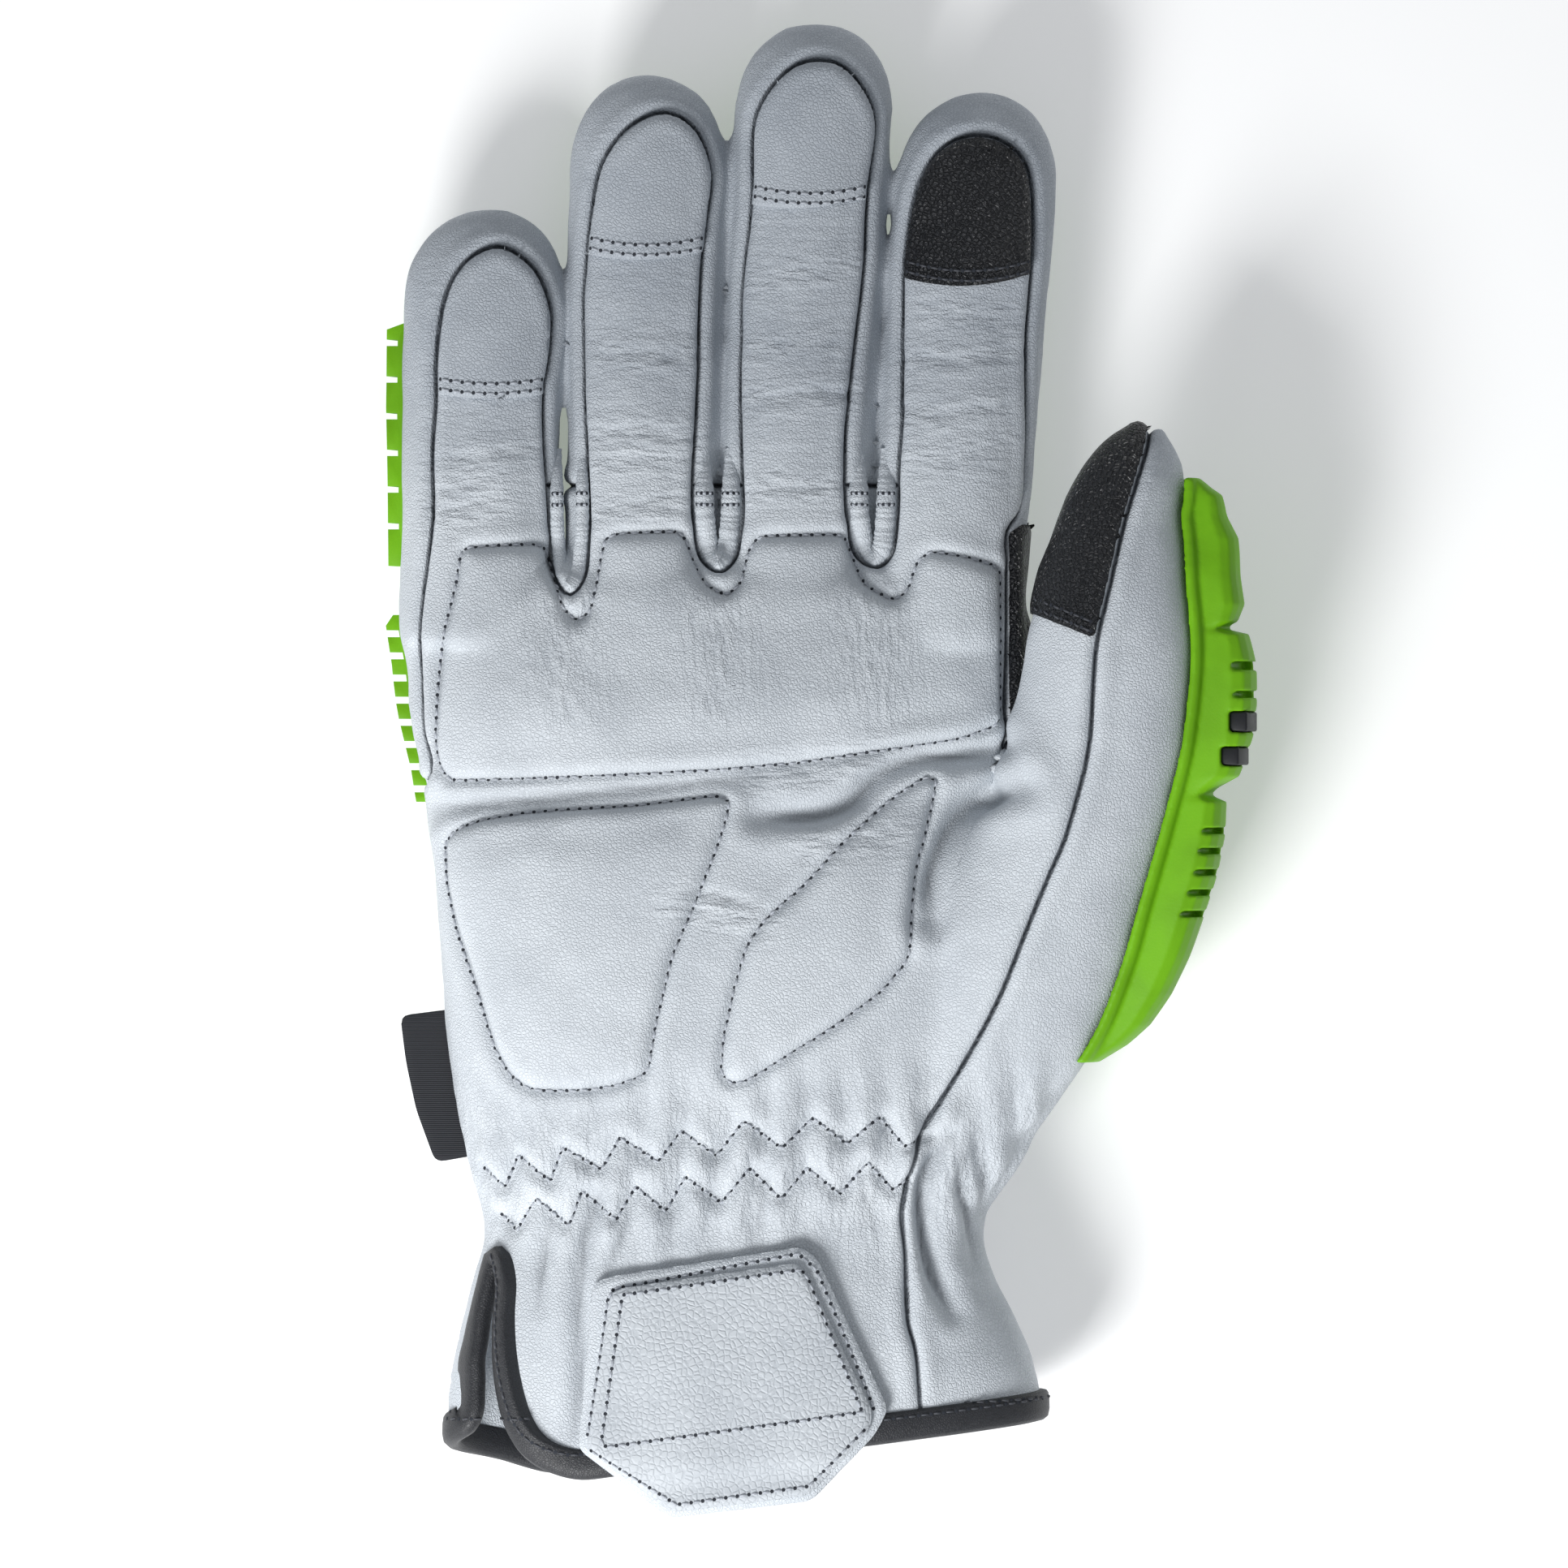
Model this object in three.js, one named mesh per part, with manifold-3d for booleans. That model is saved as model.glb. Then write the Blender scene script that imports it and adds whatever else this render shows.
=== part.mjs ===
// Impact glove for the right hand, lying on its back with the palm up.
// Millimetres. +X is the thumb side, +Y the fingertips, +Z the palm. The table is at z = 0.
import * as THREE from 'three';
import { mergeVertices } from 'three/addons/utils/BufferGeometryUtils.js';
import Module from 'manifold-3d';

const wasm = await Module();
wasm.setup();

// Named sizes that every table below is a share of.
const SIZE = {
  length: 250,   // middle fingertip to hem
  palm: 112,     // width over the knuckles
  depth: 36,     // palm to back
  finger: 28.4,  // width of one finger
  thumb: 31.4,   // width of the thumb at its base joint
  leather: 1.5,  // wall
  gap: 0.3,      // between neighbouring pieces
  pad: 1.5,      // rise of the quilted palm pads
  patch: 0.9,    // sewn on patches
  binding: 5.0,  // depth of the cuff binding
  fold: 0.9,     // how far the binding stands out of the leather on each side
  tab: 1.2,      // each layer of the pull tab
  guard: 10.2,   // height of the thumb guard
  rib: 3.6,      // height of the finger guards and the side fringe
  plate: 2.4,    // thin plate of the back guard
  bars: 7.0,     // height of its bars, before they are flattened where they rest
};
// Shares of the named sizes, across, along and up.
const X = (u) => u * SIZE.palm;
const Y = (v) => v * SIZE.length;
const Z = (w) => w * SIZE.depth;
const plan = (outline) => outline.map(([u, v]) => [X(u), Y(v)]);
// Sides of each tube, and of its inside.
const AROUND = { hand: [30, 20], finger: [12, 8], thumb: [14, 10] };
const sides = (name, d) => AROUND[name][d < -1 ? 1 : 0];

// Hand and cuff. at: along the length, left and right: of the palm width, back and front: of the depth.
const HAND = [
  { at: 0.108, left: -0.648, right: 0.336, back: 0.167, front: 0.875, power: 2.5 },
  { at: 0.080, left: -0.639, right: 0.338, back: 0.156, front: 0.917, power: 2.5 },
  { at: 0.048, left: -0.633, right: 0.329, back: 0.150, front: 0.958, power: 2.5 },
  { at: 0.006, left: -0.611, right: 0.317, back: 0.147, front: 0.972, power: 2.5 },
  { at: -0.012, left: -0.603, right: 0.317, back: 0.147, front: 0.950, power: 2.5 },
  { at: -0.032, left: -0.599, right: 0.321, back: 0.150, front: 1.006, power: 2.5 },
  { at: -0.064, left: -0.590, right: 0.339, back: 0.156, front: 1.045, power: 2.5 },
  { at: -0.144, left: -0.575, right: 0.366, back: 0.156, front: 1.072, power: 2.5 },
  { at: -0.184, left: -0.570, right: 0.375, back: 0.128, front: 1.066, power: 2.5 },
  { at: -0.212, left: -0.560, right: 0.373, back: 0.106, front: 1.050, power: 2.4 },
  { at: -0.232, left: -0.552, right: 0.360, back: 0.089, front: 1.035, power: 2.4 },
  { at: -0.250, left: -0.543, right: 0.342, back: 0.078, front: 1.022, power: 2.4 },
  { at: -0.268, left: -0.534, right: 0.321, back: 0.069, front: 1.010, power: 2.4 },
  { at: -0.286, left: -0.523, right: 0.292, back: 0.061, front: 1.000, power: 2.4 },
  { at: -0.304, left: -0.513, right: 0.270, back: 0.054, front: 0.995, power: 2.4 },
  { at: -0.324, left: -0.515, right: 0.267, back: 0.048, front: 1.000, power: 2.4 },
  { at: -0.348, left: -0.531, right: 0.283, back: 0.044, front: 1.015, power: 2.4 },
  { at: -0.380, left: -0.548, right: 0.320, back: 0.040, front: 1.032, power: 2.4 },
  { at: -0.412, left: -0.562, right: 0.346, back: 0.040, front: 1.045, power: 2.4 },
  { at: -0.476, left: -0.574, right: 0.368, back: 0.040, front: 1.045, power: 2.4 },
  { at: -0.544, left: -0.574, right: 0.371, back: 0.040, front: 0.920, power: 2.4 },
];
// Gathers of the wrist elastic: first and last row, height of one gather.
const GATHER = { from: -0.232, to: -0.330, height: 0.9 };

// Fingers. x: of the palm width at the root, lean: x per y, tip: along the length, wide: of the finger width,
// left, right and end: how far the front seam sits in from the outline, of the finger width,
// cover: lower edge of the top patch, along the length.
const FINGERS = [
  { name: 'little', x: -0.527, lean: 0.022, tip: 0.399, wide: 1.0,
    left: 0.229, right: 0.095, end: 0.211, cover: 0.266 },
  { name: 'ring', x: -0.270, lean: 0.016, tip: 0.492, wide: 0.985,
    left: 0.141, right: 0.120, end: 0.197, cover: 0.367 },
  { name: 'middle', x: -0.036, lean: 0.045, tip: 0.528, wide: 0.985,
    left: 0.134, right: 0.123, end: 0.197, cover: 0.401 },
  { name: 'index', x: 0.202, lean: 0.078, tip: 0.480, wide: 1.015,
    left: 0.106, right: 0.120, end: 0.218, cover: 0.343 },
];
const ROOT = 0.096; // where the fingers start inside the hand, along the length
const TIP = 0.58;   // length of the rounded end, of the finger width
const TURN = 0.05;  // how far its end turns up, of the finger width
// One finger from root to rounded end. wide: of its own width, back and front: of the depth.
const FINGER_ROWS = [
  { at: 0.0, wide: 0.90, back: 0.175, front: 0.850 },
  { at: 0.45, wide: 0.925, back: 0.155, front: 0.767 },
  { at: 0.70, wide: 0.965, back: 0.164, front: 0.742 },
  { at: 1.0, wide: 1.0, back: 0.210, front: 0.740 },
];

// Thumb. at: along the length, x: of the palm width, wide: of the thumb width, z and deep: of the depth.
const THUMB = [
  { at: -0.240, x: 0.210, wide: 1.05, z: 0.572, deep: 0.733 },
  { at: -0.172, x: 0.290, wide: 1.21, z: 0.650, deep: 0.844 },
  { at: -0.132, x: 0.323, wide: 1.22, z: 0.700, deep: 0.867 },
  { at: -0.088, x: 0.357, wide: 1.17, z: 0.750, deep: 0.856 },
  { at: -0.024, x: 0.413, wide: 1.04, z: 0.811, deep: 0.800 },
  { at: 0.032, x: 0.448, wide: 0.987, z: 0.861, deep: 0.744 },
  { at: 0.088, x: 0.464, wide: 0.943, z: 0.889, deep: 0.700 },
  { at: 0.140, x: 0.470, wide: 0.828, z: 0.889, deep: 0.628 },
  { at: 0.160, x: 0.476, wide: 0.764, z: 0.875, deep: 0.583 },
  { at: 0.184, x: 0.482, wide: 0.669, z: 0.861, deep: 0.528 },
];
const THUMB_END = { length: 0.497, x: 0.134, z: -0.032 }; // rounded end, and its lean, of the thumb width

// Seams, all in plan.
const LONG_SEAM = plan([
  [0.531, 0.280], [0.521, 0.238], [0.501, 0.206], [0.480, 0.176], [0.454, 0.127], [0.438, 0.097],
  [0.432, 0.067], [0.427, 0.027], [0.418, 0.004], [0.388, -0.042], [0.365, -0.066], [0.334, -0.100],
  [0.286, -0.154], [0.227, -0.203], [0.170, -0.245], [0.146, -0.275], [0.135, -0.300], [0.141, -0.328],
  [0.147, -0.378], [0.159, -0.398], [0.165, -0.431], [0.170, -0.560],
]);
const OUTER_SEAM = plan([
  [-0.759, -0.560], [-0.759, -0.010], [-0.616, 0.006], [-0.615, 0.035], [-0.620, 0.073], [-0.624, 0.099],
  [-0.619, 0.124], [-0.612, 0.149], [-0.604, 0.182],
]);
// Seam round the foot of each gap between two fingers.
const CROTCH = [
  { x: -0.383, wide: 0.229, foot: 0.129, name: 'little_ring' },
  { x: -0.151, wide: 0.278, foot: 0.146, name: 'ring_middle' },
  { x: 0.091, wide: 0.278, foot: 0.148, name: 'middle_index' },
];
// half: half width, foot: bend of its foot, both of the finger width, rise and sink: reach up and down, of the length.
const GUSSET = { half: 0.335, rise: 0.060, sink: 0.050, foot: 0.148 };
// Heights where the front panels end, of the depth.
const SPLIT = { hand: 0.500, finger: 0.458, thumb: 0.556, cuff: 0.389, gusset: 0.319 };

// Quilted pads of the palm.
const PADS = [
  [[-0.537, 0.161], [-0.425, 0.162], [-0.400, 0.125], [-0.368, 0.110], [-0.343, 0.126], [-0.316, 0.170],
    [-0.202, 0.172], [-0.177, 0.140], [-0.138, 0.129], [-0.111, 0.140], [-0.095, 0.167], [0.048, 0.170],
    [0.073, 0.138], [0.118, 0.125], [0.166, 0.157], [0.280, 0.147], [0.291, 0.096], [0.275, 0.034],
    [-0.182, 0.006], [-0.559, 0.001], [-0.582, 0.036], [-0.566, 0.128]],
  [[-0.571, -0.046], [-0.545, -0.034], [-0.418, -0.023], [-0.136, -0.013], [-0.154, -0.054],
    [-0.214, -0.114], [-0.255, -0.202], [-0.278, -0.210], [-0.443, -0.218], [-0.479, -0.204],
    [-0.554, -0.104]],
  [[0.191, -0.004], [0.166, -0.051], [0.154, -0.122], [-0.113, -0.210], [-0.139, -0.208], [-0.138, -0.182],
    [-0.084, -0.102]],
].map(plan);
// Pull tab: whole outline, and the patch sewn on it.
const TAB = plan([
  [-0.345, -0.351], [-0.318, -0.346], [-0.020, -0.325], [0.005, -0.333], [0.116, -0.438], [0.095, -0.456],
  [-0.004, -0.502], [-0.224, -0.514], [-0.366, -0.466], [-0.355, -0.412],
]);
const TAB_PATCH = plan([
  [-0.318, -0.358], [-0.025, -0.336], [-0.011, -0.344], [0.091, -0.439], [0.086, -0.454], [-0.008, -0.498],
  [-0.221, -0.511], [-0.354, -0.465], [-0.338, -0.412],
]);
const LABEL = plan([
  [-0.648, -0.166], [-0.500, -0.158], [-0.500, -0.262], [-0.593, -0.269], [-0.623, -0.232], [-0.639, -0.198],
]);
// Slit at the outer side of the cuff: leather edge and outside of its binding.
const SLIT = {
  leather: plan([
    [-0.477, -0.330], [-0.464, -0.359], [-0.458, -0.393], [-0.453, -0.418], [-0.440, -0.440],
    [-0.415, -0.458], [-0.370, -0.468],
  ]),
  binding: plan([
    [-0.514, -0.314], [-0.508, -0.359], [-0.502, -0.394], [-0.495, -0.426], [-0.480, -0.451],
    [-0.450, -0.474], [-0.405, -0.486], [-0.364, -0.488],
  ]),
  top: Y(-0.3136),
};
// Thumb guard. at: along the length, out: of the guard's height. The lows between two blocks are rows of their own.
const THUMB_GUARD = [
  { at: 0.210, out: 0.15 }, { at: 0.203, out: 0.35 }, { at: 0.198, out: 0.53 }, { at: 0.168, out: 0.80 },
  { at: 0.142, out: 0.78 }, { at: 0.122, out: 0.80 }, { at: 0.110, out: 0.65 }, { at: 0.105, out: 0.41 },
  { at: 0.101, out: 0.82 }, { at: 0.080, out: 0.94 }, { at: 0.052, out: 1.00 }, { at: 0.030, out: 1.00 },
  { at: 0.002, out: 0.90 }, { at: -0.006, out: 0.59 }, { at: -0.011, out: 0.49 }, { at: -0.016, out: 0.80 },
  { at: -0.039, out: 0.92 }, { at: -0.066, out: 0.97 }, { at: -0.096, out: 0.94 },
  { at: -0.124, out: 0.88 }, { at: -0.150, out: 0.80 }, { at: -0.172, out: 0.65 },
  { at: -0.186, out: 0.45 }, { at: -0.198, out: 0.16 },
];

// A closed three.js geometry as a solid that can be cut and joined.
function body(geometry) {
  geometry.deleteAttribute('normal');
  geometry.deleteAttribute('uv');
  const merged = mergeVertices(geometry, 1e-4);
  return new wasm.Manifold(new wasm.Mesh({
    numProp: 3,
    vertProperties: new Float32Array(merged.attributes.position.array),
    triVerts: new Uint32Array(merged.index.array),
  }));
}
// A tube through rings of equally many points, closed by a fan at each end.
function loft(rings) {
  const n = rings[0].length;
  const points = rings.flat();
  const faces = [];
  for (let i = 0; i + 1 < rings.length; i++) {
    for (let k = 0; k < n; k++) {
      const a = i * n + k, b = i * n + (k + 1) % n;
      faces.push([a, b, b + n], [a, b + n, a + n]);
    }
  }
  for (const [ring, first] of [[rings[0], true], [rings[rings.length - 1], false]]) {
    const base = first ? 0 : (rings.length - 1) * n;
    const hub = points.length;
    points.push([0, 1, 2].map((i) => ring.reduce((s, p) => s + p[i], 0) / n));
    for (let k = 0; k < n; k++) {
      const a = base + k, b = base + (k + 1) % n;
      faces.push(first ? [hub, b, a] : [hub, a, b]);
    }
  }
  const [v, w] = [new THREE.Vector3(), new THREE.Vector3()];
  const volume = faces.reduce((sum, [a, b, c]) => sum
    + v.fromArray(points[a]).dot(w.fromArray(points[b]).cross(new THREE.Vector3(...points[c]))), 0);
  const geometry = new THREE.BufferGeometry();
  geometry.setAttribute('position', new THREE.Float32BufferAttribute(points.flat(), 3));
  geometry.setIndex((volume < 0 ? faces.map(([a, b, c]) => [a, c, b]) : faces).flat());
  return body(geometry);
}
function prism(outline, low, high) {
  const shape = new THREE.Shape(outline.map(([x, y]) => new THREE.Vector2(x, y)));
  const geometry = new THREE.ExtrudeGeometry(shape, { depth: high - low, bevelEnabled: false });
  return body(geometry.translate(0, 0, low));
}
const slab = (x0, x1, y0, y1, z0, z1) => prism([[x0, y0], [x1, y0], [x1, y1], [x0, y1]], z0, z1);
const join = (list) => list.reduce((a, b) => a.add(b));
// An outline moved outwards by d (inwards when d is negative).
function outset(outline, d) {
  const list = THREE.ShapeUtils.isClockWise(outline.map(([x, y]) => new THREE.Vector2(x, y)))
    ? [...outline].reverse() : outline;
  return list.map((p, i) => {
    const a = list[(i + list.length - 1) % list.length], b = list[(i + 1) % list.length];
    const u = new THREE.Vector2(p[0] - a[0], p[1] - a[1]).normalize();
    const v = new THREE.Vector2(b[0] - p[0], b[1] - p[1]).normalize();
    const m = new THREE.Vector2(u.y + v.y, -u.x - v.x).normalize();
    const s = d / Math.max(0.6, m.dot(new THREE.Vector2(u.y, -u.x)));
    return [p[0] + m.x * s, p[1] + m.y * s];
  });
}
const round = (t, power) => Math.pow(Math.max(0, 1 - Math.pow(t, power)), 1 / power);
// One oval section: centre, half width, half depth, squareness, and a lift by angle.
function oval(n, x, y, z, w, d, power, lift) {
  return Array.from({ length: n }, (_, k) => {
    const a = (k / n) * 2 * Math.PI, c = Math.cos(a), s = Math.sin(a);
    const px = Math.sign(c) * Math.pow(Math.abs(c), 2 / power);
    const pz = Math.sign(s) * Math.pow(Math.abs(s), 2 / power);
    return [x + px * w, y, z + pz * d + (lift ? lift(k, pz, x + px * w) : 0)];
  });
}

// Tubes of the glove at distance d outside the leather's outer face (negative is inside).
function handTube(d) {
  const rows = HAND.map((r) => ({
    y: Y(r.at), x: X((r.left + r.right) / 2), w: X((r.right - r.left) / 2), z: Z((r.back + r.front) / 2),
    h: Z((r.front - r.back) / 2), power: r.power, at: r.at,
  }));
  const gather = (at) => {
    const t = (at - GATHER.from) / (GATHER.to - GATHER.from);
    return t > 0 && t < 1 ? GATHER.height * Math.sin(Math.PI * t) : 0;
  };
  const rings = [];
  const end = { ...rows[0], length: Y(0.05) + d };
  for (const t of [0.97, 0.78, 0.45]) {
    const s = round(t, 2.2);
    rings.push(oval(sides('hand', d), end.x, end.y + end.length * t, end.z, (end.w + d) * s, (end.h + d) * s,
      end.power));
  }
  for (const r of rows) {
    const g = gather(r.at);
    rings.push(oval(sides('hand', d), r.x, r.y, r.z, r.w + d, r.h + d, r.power,
      (k, pz) => (pz > 0.3 ? g * (k % 2 ? 1 : -1) : pz < -0.3 ? g * 0.5 * (k % 2 ? 1 : 0) : 0)));
  }
  return loft(rings);
}
function fingerLine(f, y) {
  return X(f.x) + f.lean * (y - Y(0.12));
}
function fingerRows(f) {
  const y0 = Y(ROOT), y1 = Y(f.tip) - TIP * SIZE.finger * f.wide;
  return FINGER_ROWS.map((r) => {
    const y = y0 + (y1 - y0) * r.at;
    return {
      y, x: fingerLine(f, y), w: r.wide * f.wide * SIZE.finger / 2, z: Z((r.back + r.front) / 2),
      h: Z((r.front - r.back) / 2),
    };
  });
}
function fingerTube(f, d) {
  const rows = fingerRows(f);
  const rings = rows.map((r) => oval(sides('finger', d), r.x, r.y, r.z, r.w + d, r.h + d, 2.25));
  const e = rows[rows.length - 1];
  const length = TIP * SIZE.finger * f.wide + d;
  for (const t of [0.38, 0.68, 0.88, 0.985]) {
    const s = round(t, 2.15), y = e.y + length * t;
    rings.push(oval(sides('finger', d), fingerLine(f, y), y, e.z + TURN * SIZE.finger * t * t, (e.w + d) * s,
      (e.h + d) * s, 2.25));
  }
  return loft(rings);
}
function thumbAt(y) {
  const rows = THUMB.map((r) => ({
    y: Y(r.at), x: X(r.x), w: r.wide * SIZE.thumb / 2, z: Z(r.z), h: Z(r.deep) / 2,
  }));
  if (y === undefined) return rows;
  const last = rows[rows.length - 1];
  if (y > last.y) {
    const t = Math.min(1, (y - last.y) / (THUMB_END.length * SIZE.thumb)), s = round(t, 1.8);
    return {
      x: last.x + THUMB_END.x * SIZE.thumb * t, z: last.z + THUMB_END.z * SIZE.thumb * t, w: last.w * s, h: last.h * s,
    };
  }
  const i = Math.max(1, rows.findIndex((r) => r.y >= y));
  const a = rows[i - 1], b = rows[i], t = (y - a.y) / (b.y - a.y);
  return Object.fromEntries(['x', 'z', 'w', 'h'].map((k) => [k, a[k] + (b[k] - a[k]) * t]));
}
function thumbTube(d) {
  const rows = thumbAt();
  const rings = rows.map((r) => oval(sides('thumb', d), r.x, r.y, r.z, r.w + d, r.h + d, 2.05));
  const e = rows[rows.length - 1];
  for (const t of [0.35, 0.65, 0.87, 0.985]) {
    const s = round(t, 1.8);
    const lean = SIZE.thumb * t;
    rings.push(oval(sides('thumb', d), e.x + THUMB_END.x * lean, e.y + THUMB_END.length * lean + d * t,
      e.z + THUMB_END.z * lean, (e.w + d) * s, (e.h + d) * s, 2.05));
  }
  return loft(rings);
}
const skin = (d) => join([handTube(d), ...FINGERS.map((f) => fingerTube(f, d)), thumbTube(d)]);
const layer = (low, high) => skin(high).subtract(skin(low));

// Where thumb and hand part, along the length.
const CROOK = Y(0.0041);
// Front seam of one finger from the left foot over the tip to the right foot.
function fingerSeam(f, inset = 0) {
  const rows = fingerRows(f).filter((r) => r.y > Y(0.2));
  const left = rows.map((r) => [r.x - r.w + f.left * SIZE.finger + inset, r.y]);
  const right = rows.map((r) => [r.x + r.w - f.right * SIZE.finger - inset, r.y]);
  const e = rows[rows.length - 1];
  const xl = e.x - e.w + f.left * SIZE.finger + inset;
  const xr = e.x + e.w - f.right * SIZE.finger - inset;
  const length = (TIP * f.wide - f.end) * SIZE.finger - inset;
  const arc = [];
  for (let i = 1; i < 8; i++) {
    const a = Math.PI * (1 - i / 8), y = e.y + length * Math.sin(a);
    arc.push([(xl + xr) / 2 + (xr - xl) / 2 * Math.cos(a) + f.lean * (y - e.y), y]);
  }
  return [...left, ...arc, ...right.reverse()];
}
function crotchSeam(c) {
  const x = X(c.x), y = Y(c.foot), r = c.wide / 2 * SIZE.finger;
  return [[x - r, y + Y(0.048)], ...[0, 1, 2, 3, 4].map((i) => {
    const a = Math.PI * (1 + i / 4);
    return [x + r * Math.cos(a), y + GUSSET.foot * SIZE.finger * (1 + Math.sin(a))];
  }), [x + r, y + Y(0.048)]];
}
function palmOutline() {
  const line = [...OUTER_SEAM];
  FINGERS.forEach((f, i) => {
    line.push(...fingerSeam(f));
    if (i < CROTCH.length) line.push(...crotchSeam(CROTCH[i]));
  });
  line.push(...plan([[0.327, 0.188], [0.305, 0.177], [0.303, 0.096], [0.299, 0.016], [0.304, 0.004]]));
  line.push(...LONG_SEAM.filter(([, y]) => y <= CROOK));
  return line;
}

// Leather walls, cut to length at the hem and opened at the slit.
const LOW = Z(-0.2), HIGH = Z(2.2);
const HEM = { at: Y(-0.4485), slope: 0.118 };
const hem = (x, d = 0) => [x, HEM.at + x * HEM.slope + d];
const hemBand = (d0, d1, x0 = X(-0.8), x1 = X(0.54)) => [hem(x0, d0), hem(x1, d0), hem(x1, d1), hem(x0, d1)];
const slitSide = (edge) => [...edge, [edge[edge.length - 1][0], Y(-0.6)], [X(-0.85), Y(-0.6)], [X(-0.85), SLIT.top]];
const openLeather = prism(outset(slitSide([[SLIT.leather[0][0], SLIT.top], ...SLIT.leather]), SIZE.gap + 0.15),
  Z(SPLIT.cuff) - SIZE.binding, HIGH);
const walls = skin(0).subtract(skin(-SIZE.leather))
  .subtract(prism(hemBand(SIZE.gap + 0.15, Y(-0.25)), LOW, HIGH))
  .subtract(openLeather);

const palmArea = (d) => {
  const hand = prism(outset(palmOutline(), d), Z(SPLIT.hand) - d, HIGH);
  const side = LONG_SEAM.filter(([, y]) => y >= CROOK);
  const thumb = thumbTube(SIZE.gap * 2 + d).intersect(
    prism(outset([...side, [X(0.18), CROOK - 0.1], [X(0.18), Y(0.28)]], d), Z(SPLIT.thumb) - d, HIGH));
  return hand.add(thumb);
};
const BACK_SEAM = plan([
  [0.80, 0.005], [0.295, 0.005], [0.277, -0.080], [0.241, -0.240], [0.188, -0.360], [0.183, -0.560],
  [0.80, -0.560],
]);
const sideArea = (d) => {
  const thumb = thumbTube(SIZE.gap * 2 + d)
    .intersect(slab(X(0.18), X(0.8), CROOK - 0.3 - d, Y(0.32), LOW, HIGH));
  const low = prism(outset(BACK_SEAM, d), LOW, HIGH);
  const edge = LONG_SEAM.filter(([, y]) => y <= CROOK);
  const high = prism(outset([...edge, [X(0.8), Y(-0.56)], [X(0.8), CROOK + 0.2]], d), Z(SPLIT.hand), HIGH);
  return thumb.add(low).add(high);
};
const largest = (m) => m.decompose().sort((a, b) => b.volume() - a.volume())[0];
const half = SIZE.gap / 2;

const padShapes = PADS.map((p) => prism(p, Z(SPLIT.hand + 0.11), HIGH));
const palmSheet = walls.intersect(palmArea(-half));
const palmSkin = (d) => join([handTube(d), ...FINGERS.map((f) => fingerTube(f, d))]);
const padTop = palmSkin(SIZE.pad).subtract(palmSkin(-0.7));
const padSheets = join(padShapes.map((p) => p.intersect(padTop)));
const palm = largest(palmSheet.add(padSheets.intersect(palmArea(-half))));
const offPalm = walls.subtract(palmArea(half));
const thumbSide = largest(offPalm.intersect(sideArea(-half)));
const offThumb = offPalm.subtract(sideArea(half));
const gussetArea = (c, d) => {
  const reach = GUSSET.half * SIZE.finger + d;
  return slab(X(c.x) - reach, X(c.x) + reach, Y(c.foot - GUSSET.sink), Y(c.foot + GUSSET.rise) + d,
    Z(SPLIT.gusset) - d, HIGH);
};
const gussets = CROTCH.map((c) => largest(offThumb.intersect(gussetArea(c, -half))));
const back = largest(CROTCH.reduce((m, c) => m.subtract(gussetArea(c, half)), offThumb));

// Sewn on patches.
const patchLayer = layer(SIZE.gap, SIZE.gap + SIZE.patch);
const tipPatches = FINGERS.map((f) => {
  const low = Y(f.cover);
  const seam = fingerSeam(f, 0.5).filter(([, y]) => y > low + 1.5);
  const [a, b] = [seam[0], seam[seam.length - 1]];
  const sag = [[b[0], low + 1.6], [(a[0] + 3 * b[0]) / 4, low + 0.4], [(a[0] + b[0]) / 2, low],
    [(3 * a[0] + b[0]) / 4, low + 0.4], [a[0], low + 1.6]];
  return largest(patchLayer.intersect(prism([...seam, ...sag], Z(SPLIT.finger) + 2, HIGH)));
});
// The thumb's patch ends 0.5 mm short of the long seam.
const THUMB_PATCH = { low: 0.097, rise: 0.026, left: 0.300, height: 0.750 };
const besideSeam = LONG_SEAM.filter(([, y]) => y > Y(THUMB_PATCH.low)).map(([x, y]) => [x - 0.5, y]);
const thumbPatch = largest(thumbTube(SIZE.gap + SIZE.patch).subtract(thumbTube(SIZE.gap))
  .intersect(prism([...besideSeam, [besideSeam[besideSeam.length - 1][0] - 0.6, Y(THUMB_PATCH.low)],
    [X(THUMB_PATCH.left), Y(THUMB_PATCH.low + THUMB_PATCH.rise)], [X(THUMB_PATCH.left), Y(0.28)]],
  Z(THUMB_PATCH.height), HIGH)));
const indexSide = (d) => handTube(d).add(fingerTube(FINGERS[3], d));
const CROTCH_PATCH = plan([
  [0.307, 0.0176], [0.305, 0.171], [0.323, 0.178], [0.402, 0.178], [0.402, 0.0176],
]);
const crotchPatch = largest(indexSide(SIZE.gap + SIZE.patch).subtract(indexSide(SIZE.gap))
  .subtract(thumbTube(SIZE.gap)).intersect(prism(CROTCH_PATCH, Z(0.367), Z(0.944))));

// Cuff binding: folded over the hem and both edges of the slit.
const thick = handTube(SIZE.fold).subtract(handTube(-SIZE.leather - SIZE.fold));
const cuffSplit = Z(SPLIT.cuff);
const frontBand = prism([...SLIT.binding, ...[...SLIT.leather].reverse()], cuffSplit - 1, HIGH);
const frontHem = prism(hemBand(-SIZE.binding, 0, X(-0.384)), cuffSplit - 1, HIGH);
const backHem = prism(hemBand(-SIZE.binding, 0), LOW, cuffSplit);
const slitTop = SLIT.top - SIZE.gap;
const slitFoot = cuffSplit - SIZE.binding + SIZE.gap;
const slitInner = X(-0.486);
const backEdge = prism([[X(-0.85), slitTop], [slitInner, slitTop], [slitInner, hem(slitInner, -SIZE.binding)[1]],
  hem(X(-0.85), -SIZE.binding)], slitFoot, cuffSplit);
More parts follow.
